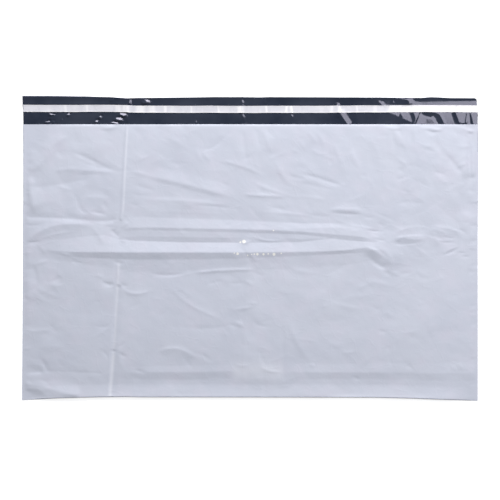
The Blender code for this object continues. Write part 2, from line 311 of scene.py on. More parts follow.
def addPleat(z, x, y, lines):
    # Each column of points gets its own section through the pleat
    folds = [np.array(line, dtype=float) for line in reversed(list(lines.values()))]
    for column in range(z.shape[1]):
        here = x[:, column].mean()
        ys = np.maximum.accumulate([np.interp(here, fold[:, 0], fold[:, 1]) for fold in folds])
        zs = [np.interp(here, fold[:, 0], fold[:, 2], left=fold[0, 2], right=fold[-1, 2]) for fold in folds]
        z[:, column] += np.interp(y[:, column], ys, zs, left=0, right=0)


# Creases of the front panel by area: the line, its height, its reach and how it differs from most
frontCreases = {
    "lengthwiseFolds": [
        ([(-223, 228), (-226, 190), (-231, 100), (-234, 50)], 0.75, (5, 6), {"fade": 0.02, "slack": 0}),
        ([(-240, -22), (-240, -60)], 0.5, 5),
        ([(-239, -66), (-242, -110), (-246, -150), (-248, -188)], -0.9, (10, 7),
         {"bow": 1.4, "fade": 0.02, "slack": 0}),
        ([(-248, -184), (-251, -240), (-253, -277)], -1.2, (12, 6),
         {"bow": 1.3, "fade": 0.02, "slack": 0}),
        ([(-3, -24), (-10, -130), (-12, -272)], 0.3, 6, {"fade": 0.1}),
    ],
    "upperLeft": [
        ([(-318, 207), (-345, 197), (-359, 184), (-366, 170), (-376, 155), (-392, 144), (-412, 141)],
         0.88, (10, 24), {"bow": 1.6, "fade": 0.25}),
        ([(-372, 217), (-380, 190), (-396, 170)], -0.48, (4, 7)),
        ([(-352, 183), (-338, 160)], -0.48, (9, 10)),
        ([(-413, 169), (-397, 168)], -0.4, (4, 5), {"fade": 0.25}),
        ([(-413, 154), (-396, 153)], -0.62, (5, 5), {"fade": 0.25}),
        ([(-413, 181), (-398, 180)], -0.26, (4, 4), {"fade": 0.25}),
        ([(-330, 176), (-310, 171), (-288, 160), (-262, 147), (-234, 138)], -0.92, (6, 9),
         {"bow": 1.7, "fade": 0.35}),
        ([(-328, 168), (-300, 154), (-266, 144), (-240, 139)], -0.4, (5, 6)),
        ([(-352, 141), (-330, 144), (-290, 141), (-240, 137)], 0.53, (8, 8), {"fade": 0.25}),
        ([(-352, 139), (-344, 142), (-338, 148)], 0.44, (4, 5)),
        ([(-330, 131), (-290, 134), (-262, 133)], -0.4, (7, 8)),
        ([(-411, 115), (-382, 111), (-352, 115), (-322, 120), (-282, 130)], -1.1, (24, 13),
         {"bow": 1.25, "fade": 0.2}),
        ([(-354, 115), (-336, 109), (-320, 103)], 0.53, (5, 4)),
        ([(-322, 103), (-316, 92), (-310, 78), (-304, 66), (-292, 63)], -0.79, (8, 5), {"fade": 0.3}),
        ([(-310, 91), (-285, 93), (-246, 90)], 0.62, (7, 22), {"bow": 1.4}),
        ([(-270, 90), (-263, 76), (-254, 68)], -0.44, (5, 5)),
        ([(-292, 67), (-272, 64), (-256, 58)], -0.79, (7, 4)),
        ([(-402, 134), (-399, 100), (-391, 62)], 1.76, (24, 9), {"bow": 1.3, "fade": 0.25}),
        ([(-262, 210), (-242, 225)], 0.44, (6, 8)),
        ([(-218, 118), (-164, 102)], -0.4, (6, 7)),
        ([(-212, 172), (-188, 160)], 0.35, (8, 8)),
        ([(-220, 141), (-180, 131)], 0.53, (8, 5)),
        ([(-222, 84), (-206, 76), (-196, 82)], -0.35, (5, 5)),
        ([(-216, 98), (-178, 94)], -0.31, (5, 6)),
    ],
    "upperMiddle": [
        ([(-196, 133), (-150, 124), (-100, 111), (-60, 101), (-30, 91)], 1.2, (20, 8),
         {"bow": 1.25, "fade": 0.22}),
        ([(-60, 161), (-30, 153), (-5, 145), (12, 137), (25, 129)], 0.64, (8, 3.6), {"fade": 0.3}),
        ([(-160, 208), (-130, 191), (-112, 178)], 0.69, (20, 15)),
        ([(-100, 187), (-93, 166), (-84, 153)], 0.46, (6, 5)),
        ([(-90, 180), (-80, 165), (-67, 153)], 0.6, (6, 5)),
        ([(-92, 183), (-74, 178), (-60, 187), (-46, 202), (-34, 214)], -0.69, (12, 6)),
        ([(-14, 218), (-11, 185), (-5, 150)], -0.6, (6, 7), {"fade": 0.25}),
        ([(10, 222), (14, 200), (19, 178)], -0.51, (6, 7), {"fade": 0.25}),
        ([(22, 218), (30, 192), (42, 170)], 0.55, (8, 6), {"fade": 0.3}),
        ([(7, 173), (16, 134)], 0.37, (6, 8)),
        ([(-8, 124), (12, 117), (34, 106), (60, 99), (92, 87)], 0.6, (9, 5)),
        ([(-20, 99), (5, 96), (40, 95), (72, 93)], 0.87, (6, 6), {"fade": 0.3}),
        ([(44, 160), (52, 142), (60, 128), (76, 110)], 0.51, (8, 6)),
        ([(50, 148), (62, 134)], 0.41, (4, 4)),
        ([(-204, 89), (-150, 88), (-90, 84), (-36, 78)], 0.64, (6, 22), {"bow": 1.4, "fade": 0.3}),
        ([(-112, 79), (-60, 76), (-18, 71)], -0.46, (5, 6)),
        ([(-190, 68), (-120, 66), (-30, 61)], 0.23, (5, 5)),
        ([(26, 78), (50, 73), (72, 67)], -0.51, (6, 5)),
        ([(10, 67), (60, 64), (132, 57)], 0.41, (5, 5)),
        ([(92, 62), (150, 56)], -0.37, (5, 5)),
        ([(84, 138), (104, 133), (128, 126), (152, 118), (176, 109)], -0.83, (5, 6), {"fade": 0.35}),
        ([(64, 136), (76, 130), (100, 124)], -0.46, (5, 6)),
        ([(66, 123), (100, 117), (130, 110), (166, 102)], -0.46, (8, 9)),
        ([(84, 96), (120, 92), (146, 84)], 0.37, (6, 9)),
        ([(-58, 124), (-46, 116), (-34, 110)], -0.37, (4, 5)),
        ([(24, 222), (40, 204), (52, 196)], -0.46, (7, 6)),
        ([(100, 215), (116, 197), (124, 186)], 0.46, (5, 4)),
        ([(118, 216), (130, 198), (137, 172)], 0.51, (5, 5)),
        ([(108, 182), (118, 174), (130, 169)], 0.46, (4, 5)),
        ([(88, 200), (94, 185), (104, 171)], 0.37, (5, 5)),
        ([(72, 182), (86, 172)], 0.32, (5, 5)),
        ([(147, 197), (155, 180), (161, 164), (169, 147)], 0.6, (5, 5), {"fade": 0.35}),
        ([(142, 168), (149, 148)], -0.37, (5, 6)),
        ([(-150, 158), (-128, 152), (-112, 156)], -0.32, (8, 8)),
    ],
    "upperRight": [
        ([(174, 202), (204, 204), (225, 190), (236, 162), (233, 133)], 0.52, (9, 15)),
        ([(180, 198), (184, 172), (196, 150), (203, 138)], 0.48, (7, 9)),
        ([(200, 134), (212, 129)], -0.4, (4, 4)),
        ([(256, 218), (260, 194), (262, 168)], -0.48, (5, 6)),
        ([(262, 215), (274, 196), (286, 160)], 0.56, (9, 8), {"fade": 0.3}),
        ([(270, 194), (279, 178), (284, 160)], -0.48, (5, 5)),
        ([(289, 220), (293, 176)], -0.44, (5, 5)),
        ([(299, 223), (296, 190)], 0.4, (5, 5)),
        ([(312, 221), (325, 212), (340, 208)], -0.72, (5, 8)),
        ([(300, 190), (318, 185), (336, 184)], 0.4, (8, 6)),
        ([(312, 182), (326, 176), (338, 175)], -0.36, (4, 5)),
        ([(334, 204), (339, 186), (344, 170)], -0.48, (5, 7)),
        ([(262, 168), (274, 158), (288, 146)], 0.6, (5, 6)),
        ([(284, 156), (292, 144)], -0.36, (4, 5)),
        ([(268, 148), (278, 134)], -0.4, (5, 5)),
        ([(258, 121), (270, 124), (284, 132)], -0.48, (4, 5)),
        ([(356, 170), (366, 157), (375, 146), (384, 132)], -0.88, (5, 8), {"bow": 1.5, "fade": 0.3}),
        ([(372, 142), (380, 152), (396, 154)], 0.64, (6, 7)),
        ([(380, 130), (386, 140), (384, 152)], 0.48, (5, 5)),
        ([(384, 138), (377, 110), (372, 60)], 0.6, (12, 24), {"fade": 0.25}),
        ([(391, 140), (393, 106), (392, 56)], -0.8, (16, 12), {"bow": 1.4, "fade": 0.2}),
        ([(388, 224), (400, 206), (404, 186), (413, 176)], -0.56, (8, 6), {"fade": 0.2}),
        ([(392, 129), (402, 128), (414, 134)], -0.72, (5, 6), {"fade": 0.2}),
        ([(391, 107), (399, 105), (412, 98)], -0.64, (5, 7), {"fade": 0.2}),
        ([(326, 140), (344, 137), (356, 128)], -0.4, (5, 5)),
        ([(330, 140), (348, 120), (362, 115)], 0.4, (6, 5)),
        ([(318, 132), (332, 118), (338, 100)], -0.32, (8, 8)),
        ([(294, 179), (293, 151), (324, 145)], 0.36, (7, 7)),
        ([(292, 160), (300, 148), (316, 146)], -0.36, (6, 6)),
        ([(286, 92), (300, 80), (316, 84)], -0.26, (6, 7)),
        ([(296, 96), (312, 88), (320, 76)], 0.32, (6, 6)),
        ([(262, 80), (292, 86)], -0.32, (6, 6)),
        ([(270, 106), (290, 100)], -0.32, (5, 6)),
        ([(140, 69), (160, 69), (182, 68), (214, 61)], 1.08, (15, 7.5), {"bow": 1.5, "fade": 0.35}),
        ([(202, 62), (214, 54), (226, 58)], -0.4, (4, 5)),
        ([(355, 212), (376, 196), (392, 178)], 0.32, (14, 14)),
        ([(236, 118), (262, 98)], 0.28, (8, 8)),
        ([(318, 70), (352, 92)], -0.28, (9, 9)),
    ],
    "pleatLeftEnd": [
        ([(-415, 57), (-380, 56.2), (-340, 55), (-300, 51.3), (-260, 48.5), (-240, 54)], -0.95, (10, 7),
         {"bow": 1.4, "fade": 0.06}),
        ([(-410, 10), (-394, 22), (-376, 34), (-350, 43), (-312, 45), (-286, 38)], 1.4, (12, 17),
         {"bow": 1.4, "fade": 0.25}),
        ([(-388, 15), (-352, 27), (-312, 31)], 0.45, (6, 8)),
        ([(-410, 11), (-392, 11), (-376, 14)], -0.7, (5, 8)),
        ([(-412, 44), (-394, 41), (-376, 44)], -0.4, (5, 6)),
        ([(-386, 9), (-376, -1), (-369, -14)], 0.6, (5, 4)),
        ([(-290, 45), (-279, 30), (-268, 16), (-264, 2)], 0.75, (9, 8)),
        ([(-252, 34), (-236, 19)], -0.7, (13, 9), {"fade": 0.3}),
        ([(-264, 49), (-250, 32), (-238, 18)], -0.4, (7, 7)),
        ([(-236, 36), (-218, 50)], 0.5, (6, 6)),
        ([(-238, 16), (-230, 13), (-220, 14)], 0.5, (6, 5)),
        ([(-346, -6), (-334, -11), (-322, -15)], 0.6, (4, 4)),
        ([(-250, -20), (-236, -28), (-226, -24)], -0.5, (6, 6)),
    ],
    "pleatMiddle": [
        ([(-20, 13), (-8, 9), (2, 16)], 1.0, (5, 5)),
        ([(-6, 20), (4, 22), (18, 16), (40, 13), (62, 16)], 0.55, (4, 4)),
        ([(-26, 6), (-13, -2), (4, -26), (0, -40)], -0.5, (5, 6)),
        ([(-2, -8), (14, -26)], 0.6, (5, 5)),
        ([(-104, -44), (-60, -40), (-10, -38.2), (8, -38.5)], 0.95, (4.5, 4.5), {"fade": 0.18}),
        ([(-184, -44), (-166, -48), (-140, -48.5), (-108, -46)], -0.8, (6, 5), {"fade": 0.3}),
        ([(-150, -53), (-122, -48), (-96, -43)], 0.5, (4, 4)),
        ([(0, -40), (16, -48), (30, -50)], -0.4, (5, 5)),
    ],
    "pleatRightEnd": [
        ([(150, 45), (190, 42), (222, 35), (246, 31)], 0.38, (5, 4)),
        ([(205, 33), (224, 31), (248, 31)], -0.42, (4, 4)),
        ([(228, 48), (244, 38)], -0.45, (4, 4)),
        ([(214, 27), (228, 18), (240, 15)], 0.41, (5, 4)),
        ([(222, 20), (232, 16), (248, 13)], -0.45, (4, 4)),
        ([(194, 1), (222, -1), (246, -4), (254, -24), (260, -52)], 2.7, (38, 27),
         {"bow": 1.05, "fade": 0.4, "slack": 0}),
        ([(236, -38), (250, -46), (262, -52)], -0.38, (4, 6)),
        ([(250, -42), (262, -44), (272, -52)], 0.45, (6, 5)),
        ([(268, -44), (280, -46), (292, -42)], -0.45, (4, 6)),
        ([(296, -40), (306, -50), (318, -62)], -0.38, (5, 6)),
        ([(310, -50), (320, -54), (314, -62)], -0.38, (4, 4)),
        ([(256, 10), (272, 22), (286, 17), (304, 16), (324, 21)], 1.25, (22, 13),
         {"bow": 1.15, "fade": 0.3}),
        ([(262, 10), (270, 20), (276, 26)], 0.52, (6, 8)),
        ([(270, 18), (287, 37), (309, 42), (326, 37)], -0.26, (8, 10)),
        ([(322, 42), (340, 38), (362, 36), (384, 28)], 0.68, (9, 16)),
        ([(323, 41), (330, 28), (340, 10), (348, -4)], 0.49, (6, 6)),
        ([(346, 24), (360, 18), (374, 19)], -0.45, (4, 5)),
        ([(340, 13), (356, 10), (372, 12)], -0.45, (4, 5)),
        ([(362, 36), (378, 30), (390, 20)], 0.41, (4, 4)),
        ([(366, 30), (380, 24), (388, 14)], 0.38, (3.6, 3.6)),
        ([(372, 36), (386, 32), (394, 22)], -0.34, (3.6, 3.6)),
        ([(344, -14), (360, -9), (372, -2), (382, 4)], -0.68, (5, 4)),
        ([(350, -8), (366, 0), (378, 6)], 0.38, (4, 4)),
        ([(374, -6), (384, -9), (392, -6)], -0.45, (4, 5)),
        ([(380, -13), (392, -16), (400, -12)], -0.38, (5, 5)),
        ([(285, 9), (309, -2), (319, -22)], 0.45, (9, 14)),
        ([(273, 10), (278, -8), (281, -30)], -0.41, (8, 7)),
        ([(330, -62), (352, -47)], 0.26, (8, 8)),
        ([(258, 18), (266, 30), (274, 34), (300, 40), (320, 38)], 0.5, (7, 12), {"fade": 0.3}),
        ([(392, -38), (404, -44), (412, -40)], -0.38, (6, 6)),
        ([(396, 36), (406, 18), (412, 4)], 0.38, (9, 8)),
    ],
    "lowerLeft": [
        ([(-362, -61), (-350, -56), (-340, -48)], -0.6, (6, 8)),
        ([(-376, -62), (-352, -68), (-332, -66)], 0.49, (9, 11)),
        ([(-402, -50), (-384, -74), (-360, -84), (-334, -94)], 0.65, (13, 12)),
        ([(-398, -70), (-380, -90), (-362, -100)], 0.43, (8, 9)),
        ([(-394, -31), (-380, -26), (-364, -20)], 0.54, (6, 6)),
        ([(-330, -14), (-318, -24), (-300, -28)], -0.49, (5, 6)),
        ([(-270, -57), (-262, -64), (-252, -66), (-242, -64)], -1.08, (6, 6)),
        ([(-286, -46), (-270, -50), (-258, -58)], 0.43, (5, 6)),
        ([(-238, -62), (-230, -67), (-220, -70)], -0.86, (5, 5)),
        ([(-237, -66), (-228, -76), (-214, -82), (-196, -82), (-172, -73)], 0.76, (6, 6)),
        ([(-412, -148), (-384, -150), (-362, -146)], 0.65, (9, 12)),
        ([(-368, -134), (-360, -142), (-348, -156)], -0.54, (5, 6)),
        ([(-392, -180), (-362, -178), (-330, -178)], 0.59, (16, 18)),
        ([(-383, -194), (-373, -209), (-363, -230)], -1.03, (5, 5)),
        ([(-352, -200), (-342, -210), (-334, -222)], -0.38, (5, 6)),
        ([(-417, -223), (-396, -223), (-374, -224)], -1.46, (13, 5), {"bow": 1.3, "fade": 0.2}),
        ([(-384, -222), (-330, -223), (-262, -226)], -0.16, (4, 3), {"fade": 0.15}),
        ([(-416, -244), (-384, -249), (-350, -258), (-306, -268)], 2.05, (20, 15),
         {"bow": 1.15, "fade": 0.12}),
        ([(-380, -232), (-366, -246), (-356, -252)], -0.54, (6, 6)),
        ([(-408, -232), (-398, -240), (-392, -248)], -0.54, (6, 6)),
        ([(-284, -141), (-262, -143), (-250, -134)], -0.49, (6, 6)),
        ([(-240, -186), (-232, -194), (-222, -198)], -0.97, (5, 5)),
        ([(-246, -180), (-232, -176), (-222, -164)], -0.43, (5, 5)),
        ([(-276, -182), (-262, -188), (-256, -206)], -0.43, (5, 5)),
        ([(-236, -200), (-226, -226)], 0.43, (5, 5)),
        ([(-212, -218), (-200, -223), (-186, -226)], -0.65, (5, 4)),
    ],
    "lowerMiddle": [
        ([(-156, -56), (-146, -72), (-130, -86), (-108, -104), (-84, -115), (-44, -134)], 0.5, (8, 4),
         {"fade": 0.3}),
        ([(-150, -62), (-130, -70), (-108, -86), (-90, -100)], 0.3, (8, 6)),
        ([(-80, -66), (-62, -60), (-46, -60)], -0.36, (5, 6)),
        ([(-42, -62), (-22, -64), (-6, -60)], -0.45, (5, 6)),
        ([(-14, -52), (-4, -62), (10, -68)], 0.5, (4, 4)),
        ([(-34, -111), (-12, -109), (10, -104)], 0.6, (6, 4)),
        ([(-8, -100), (4, -98), (16, -102)], 0.4, (5, 5)),
        ([(-28, -132), (-20, -135), (-13, -144)], 0.9, (5, 5)),
        ([(-40, -134), (-28, -142), (-18, -142)], -0.5, (5, 5)),
        ([(-144, -140), (-100, -145), (-60, -144), (-22, -136)], -0.5, (10, 12)),
        ([(0, -112), (4, -128), (14, -140), (40, -142)], -0.5, (5, 6)),
        ([(-172, -189), (-152, -181), (-132, -180), (-114, -187), (-88, -202)], 0.85, (5, 16),
         {"fade": 0.3}),
        ([(-130, -186), (-114, -206), (-98, -224)], -0.45, (6, 8)),
        ([(-100, -184), (-84, -194), (-66, -208)], -0.6, (5, 5)),
        ([(14, -181), (22, -200), (34, -219)], -0.6, (5, 5)),
        ([(14, -205), (24, -220), (62, -226)], 0.55, (5, 5)),
        ([(22, -222), (25, -245), (27, -271)], -0.4, (4, 5)),
        ([(-34, -208), (-12, -214), (6, -206)], 0.4, (6, 6)),
        ([(57, -125), (60, -185), (60, -234)], -0.45, (5, 9), {"fade": 0.25}),
        ([(64, -121), (82, -167), (104, -200), (118, -218)], 0.95, (22, 12)),
        ([(104, -208), (120, -214)], 0.45, (5, 5)),
        ([(60, -28), (90, -42), (128, -46)], 0.35, (9, 9)),
    ],
    "lowerRight": [
        ([(200, -58), (236, -62), (268, -72)], 0.61, (10, 16)),
        ([(186, -78), (206, -66), (226, -62)], 0.38, (8, 10)),
        ([(182, -24), (136, -50)], -0.47, (13, 13)),
        ([(160, -92), (200, -84), (230, -90)], 0.43, (12, 14)),
        ([(138, -93), (172, -106), (214, -110)], 0.43, (9, 11)),
        ([(164, -190), (194, -186)], 0.43, (6, 6)),
        ([(245, -174), (257, -190)], -0.47, (4, 5)),
        ([(278, -205), (297, -222)], -0.56, (5, 5)),
        ([(184, -230), (201, -241)], -0.61, (5, 5)),
        ([(375, -205), (388, -224)], 0.47, (5, 5)),
        ([(362, -208), (375, -224)], 0.38, (5, 5)),
        ([(228, -148), (252, -152)], -0.43, (5, 6)),
        ([(240, -112), (262, -126)], 0.38, (6, 7)),
        ([(286, -150), (300, -172)], -0.33, (9, 9)),
        ([(396, -170), (410, -196)], 0.38, (6, 6)),
    ],
}

# Patches of the front that lie tipped: middle, half size, turn in degrees and how much they face +x and +y
frontPatches = [
    ((230, -18), (23, 10.5), -38, (-0.03, -0.09)),
    ((403, 218), (9, 9), 0, (0.06, 0.16)),
    ((402, 150), (8, 42), 4, (-0.26, 0.0)),
    ((372, 190), (22, 22), -6, (0.04, 0.012)),
    ((-398, -62), (13, 30), 3, (0.04, 0.03)),
    ((327, 219), (18, 5), -9, (0.0, 0.2)),
    ((258, 220.5), (14, 4.5), -6, (0.0, 0.15)),
    ((392, 219), (12, 5), -25, (0.04, 0.18)),
    ((-252, 221), (15, 4.5), 7, (0.0, 0.15)),
    ((287, 15), (27, 8), 5, (0.0, -0.045)),
    ((340, 26), (16, 8), -20, (-0.02, -0.05)),
    ((177, 67), (28, 6), -3, (0.0, -0.075)),
    ((268, 203), (6, 17), 14, (0.05, 0.03)),
    ((-392, -262), (20, 10), -6, (-0.02, -0.07)),
]

# Chance crumples between them. Facets and hills are spacing, height and seed.
crumple = {
    "facets": [(64.0, 0.30, 101), (22.0, 0.09, 103), (10.0, 0.05, 107)],
    "hills": [(120.0, 0.55, 3), (44.0, 0.28, 5), (24.0, 0.15, 7), (13.0, 0.06, 9)],
    "needles": 260,
    "needleSeed": 41,
    "length": (16.0, 70.0),
    "height": (0.06, 0.24),
    "reach": (3.0, 12.0),
    "ticks": 90,  # puckers that start from the side welds
    "tickSeed": 67,
    "tickLength": (6, 22),
    "tickDrift": (-4, 4),
    "tickHeight": (0.12, 0.4),
    "tickReach": (3, 5),
}

# How crumpled the front is everywhere, and what some areas add to that
crumpleAreas = {
    "everywhere": 1.1,
    "upperHalf": 0.22,
    "middleFold": 0.35,
    "pleatRightEnd": 0.5,
    "upperRight": 0.35,
}


def addNeedles(z, x, y, settings, xRange, yRange):
    # Fine chance creases, sharp on one side and slack on the other
    dice = np.random.default_rng(settings["needleSeed"])
    for _ in range(settings["needles"]):
        centre = np.array([dice.uniform(*xRange), dice.uniform(*yRange)])
        turn = dice.uniform(0, math.pi)
        along = np.array([math.cos(turn), math.sin(turn)]) * dice.uniform(*settings["length"]) / 2
        kink = np.array([-along[1], along[0]]) * dice.uniform(-0.25, 0.25)
        sharp, slack = settings["reach"][0], dice.uniform(*settings["reach"])
        height = dice.uniform(*settings["height"]) * dice.choice((-1, 1))
        addCrease(z, x, y, [centre - along, centre + kink, centre + along], height, (sharp, slack))


def addWeldTicks(z, x, y):
    dice = np.random.default_rng(crumple["tickSeed"])
    for _ in range(crumple["ticks"]):
        side = dice.choice((-1, 1))
        start = dice.uniform(foldY + 10, bag["mouthY"] - 8)
        length, drift = dice.uniform(*crumple["tickLength"]), dice.uniform(*crumple["tickDrift"])
        edge = side * (halfWidth + 2)
        height = dice.uniform(*crumple["tickHeight"]) * dice.choice((-1, 1))
        path = [(edge, start), (edge - side * length, start + drift)]
        addCrease(z, x, y, path, height, dice.uniform(*crumple["tickReach"]))


def crumpleShare(x, y):
    share = crumpleAreas["everywhere"] + crumpleAreas["upperHalf"] * ramp((y + 10) / 90)
    share += crumpleAreas["middleFold"] * np.exp(-(((x + 4) / 18) ** 2)) * ramp((70 - y) / 60)
    share += crumpleAreas["pleatRightEnd"] * np.exp(-(((x - 270) / 80) ** 2 + (y / 60) ** 2))
    return share + crumpleAreas["upperRight"] * ramp((x - 230) / 60) * ramp((y - 110) / 60)


def bottomEdge(x):
    return foldY + readOff(outline["bottom"], x)


def frontLoft(y, inset, up):
    # The front panel without its creases: full in the middle, low at the mouth, and looped at the fold
    start = bag["sideStart"]
    sides = start * rise(inset / bag["sideStartRun"]) + (1 - start) * rise(inset / bag["sideRun"])
    bottom = bag["bottomStart"] + (1 - bag["bottomStart"]) * rise(up / bag["bottomRun"])
    loft = bag["loft"] * sides * bottom
    loft -= bag["mouthFall"] * sides * (1 - rise((bag["mouthY"] - y) / bag["mouthRun"]))
    corner = ramp(inset / bag["cornerRun"])
    loop = bag["foldLoopCorner"] + (bag["foldLoop"] - bag["foldLoopCorner"]) * corner
    fold = np.clip(1 - up / bag["foldHollow"], 0, 1)
    base = loft * ramp(up / bag["foldHollow"]) * bag["hollowLoft"]
    hollow = base + bag["hollowMiddle"] * corner + bag["hollowCorner"]
    blend = ramp(up / (2 * bag["foldHollow"]))
    return loft * blend + (1 - blend) * hollow + (loop - bag["loopBase"]) * fold ** bag["loopBow"]


def frontHeight(x, y):
    # Height of the pale face of the front panel
    inset = halfWidth - np.abs(x)
    up = y - bottomEdge(x)
    z = frontLoft(y, inset, up)
    relief = np.zeros_like(z)
    addPleat(relief, x, y, pleat)
    addPleat(relief, x, y, bottomPleat)
    for area in frontCreases.values():
        addCreases(relief, x, y, area, creaseShape["smallShare"])
    for patch in frontPatches:
        addFacet(relief, x, y, *patch)
    noise = np.zeros_like(z)
    addLayers(noise, x, y, facetNoise, crumple["facets"])
    addLayers(noise, x, y, softNoise, crumple["hills"])
    addNeedles(noise, x, y, crumple, (-halfWidth, halfWidth), (foldY, bag["mouthY"]))
    relief += noise * crumpleShare(x, y)
    relief *= ramp(inset / bag["seamFade"])
    addWeldTicks(relief, x, y)
    z += relief * ramp((up + bag["foldFade"]) / (3 * bag["foldFade"]))
    lip = np.clip(1 - (bag["mouthY"] - y) / bag["lipRun"], 0, 1) ** 2
    z -= bag["lipFall"] * lip * ramp(inset / bag["lipSideRun"])
    turn = np.clip(1 - up / bag["foldRound"], 0, 1)
    return z * (bag["foldEdge"] + (1 - bag["foldEdge"]) * np.sqrt(1 - turn**2))


# What the glossy dark side of the flap shows: creases, then patches tipped towards a light or away from it
flapCreases = [
    ([(-238, 222), (-230, 252)], 1.3, (18, 18), {"bow": 1.3, "fade": 0.0, "slack": 0}),
    ([(-368, 222), (-350, 248)], 1.1, (24, 24), {"bow": 1.3, "fade": 0.0, "slack": 0}),
    ([(-278, 222), (-268, 252)], 0.9, (16, 14), {"bow": 1.3, "fade": 0.0, "slack": 0}),
    ([(-221, 224), (-225, 250), (-217, 277)], 1.1, (4, 8), {"fade": 0.0, "bow": 1.3}),
    ([(-196, 273), (-181, 262)], 1.3, (4.5, 6), {"bow": 1.15, "fade": 0.2}),
    ([(-17, 277), (-15, 250), (-9, 226)], 0.7, (4, 4), {"fade": 0.0}),
    ([(22, 272), (29, 261)], 0.6, (4, 5), {"bow": 1.15}),
    ([(71, 246), (78, 232)], 0.5, (4, 5), {"bow": 1.15}),
    ([(157, 264), (159, 236)], 0.55, (5, 6), {"bow": 1.15, "fade": 0.1, "slack": 0}),
    ([(161, 251), (166, 238), (178, 222)], 1.0, (9, 8), {"bow": 1.1, "fade": 0.04, "slack": 0}),
    ([(246, 247), (268, 238), (300, 224)], 1.0, (40, 12), {"bow": 1.1, "fade": 0.06, "slack": 0}),
    ([(277, 248), (272, 236)], 0.35, (5, 3), {"bow": 1.1, "slack": 0}),
    ([(294, 249), (299, 240), (301, 223)], 0.45, (18, 6), {"bow": 1.1, "fade": 0.05, "slack": 0}),
    ([(371, 249), (381, 223)], 0.6, (18, 6.5), {"bow": 1.1, "fade": 0.05, "slack": 0}),
    ([(394, 248), (391, 224)], 0.35, (5, 3), {"bow": 1.1, "fade": 0.1, "slack": 0}),
    ([(399, 250), (406, 222)], 0.4, (5, 4), {"bow": 1.1, "fade": 0.05, "slack": 0}),
    ([(380, 230), (388, 226)], 0.3, (3, 3), {"slack": 0}),
]
flapPatches = [
    ((-358, 243), (8, 2.6), -4, (0.16, 0.46)),
    ((-367, 230), (6, 2.8), 16, (0.16, 0.46)),
    ((-357, 231), (3, 2.4), 30, (0.16, 0.46)),
    ((-341, 235), (2.5, 3), 20, (0.32, 0.12)),
    ((-329, 243.5), (5, 2.8), 30, (0.14, 0.46)),
    ((-251, 229), (4, 2.2), 20, (0.24, 0.44)),
    ((-230, 243.5), (7, 4.4), -6, (0.10, 0.47)),
    ((-237, 235), (8, 4.4), -6, (0.10, 0.47)),
    ((-244, 228), (6, 3.2), -8, (0.12, 0.47)),
    ((-271, 239), (4, 3.4), 20, (0.14, 0.46)),
    ((-278, 231), (5, 3.4), 20, (0.14, 0.46)),
    ((-217, 267), (2.6, 5), -18, (0.30, 0.16)),
    ((-251, 270), (4, 2.6), 0, (0.14, 0.46)),
    ((-241, 265), (3, 1.8), -30, (0.24, 0.45)),
    ((-189, 267), (8, 4.0), 24, (0.16, 0.45)),
    ((-98, 231), (2.2, 5), 15, (0.22, 0.14)),
    ((-14, 242), (3.2, 3.6), 30, (0.18, 0.12)),
    ((-13, 267), (2.2, 3), 0, (0.18, 0.12)),
    ((238, 265), (8, 3), -14, (0.06, 0.02)),
    ((268, 265), (24, 7), 0, (-0.06, -0.05)),
    ((259, 269), (2.4, 6), 28, (0.16, 0.05)),
    ((327, 243), (19, 6), -10, (-0.03, -0.09)),
    ((342, 234), (7, 13), 34, (-0.09, -0.03)),
]

flapShape = {
    "base": 0.6,
    "lift": 0.5,  # of the flap off the table
    "liftRun": 15.0,
    "least": 0.15,
    "edgeCurl": 0.9,  # of its free edge
    "edgeCurlRun": 8.0,
    "waves": [(95.0, 0.55, 31), (38.0, 0.16, 33)],
    "waveBase": 0.4,
    "waveStretch": 0.35,
    "facets": [(26.0, 0.10, 37)],
    "calmFrom": 110.0,  # to the right of this the flap lies flat, so that the light shows in it
    "calmRun": 60.0,
    "calmShare": 0.92,
    "cornerRound": 9.0,
    "cornerCuts": (0.2, 0.9),  # how much of that rounding the left and the right corner have
    "sideLimits": (2.6, 3.0),  # how far the left and the right side may stray out
    "needles": 60,
    "needleSeed": 77,
    "length": (8.0, 30.0),
    "height": (0.05, 0.22),
    "reach": (2.5, 7.0),
}

# The back panel, which only shows its underside. Hills and facets are spacing, height and seed.
underside = {
    "hills": (70.0, 0.30, 51),
    "facets": (34.0, 0.16, 53),
    "creases": ([(-227, 228), (-240, 0), (-256, -276)], [(-12, 228), (-12, -276)], [(-414, 8), (414, 4)]),
    "creaseHeight": 0.8,
    "creaseReach": 9.0,
    "sideRun": 60.0,  # it is flat at the edges and has its full height this far in
    "bottomRun": 40.0,
    "flapRun": 14.0,
}


def flapHeight(x, y):
    loose = 1 - flapShape["calmShare"] * ramp((x - flapShape["calmFrom"]) / flapShape["calmRun"])
    z = flapShape["base"] + flapShape["lift"] * ramp((y - bag["mouthY"]) / flapShape["liftRun"]) * loose
    z += flapShape["edgeCurl"] * np.clip(1 - (flapEdgeY - y) / flapShape["edgeCurlRun"], 0, 1) ** 1.5
    for cell, height, seed in flapShape["waves"]:
        wave = softNoise(x, y * flapShape["waveStretch"], cell, seed)
        z += height * (flapShape["waveBase"] + wave) * loose
    addLayers(z, x, y, facetNoise, flapShape["facets"], loose)
    addCreases(z, x, y, flapCreases)
    addNeedles(z, x, y, flapShape, (-halfWidth, flapShape["calmFrom"]), (bag["mouthY"], flapEdgeY))
    for patch in flapPatches:
        addFacet(z, x, y, *patch)
    return np.maximum(z, flapShape["least"])


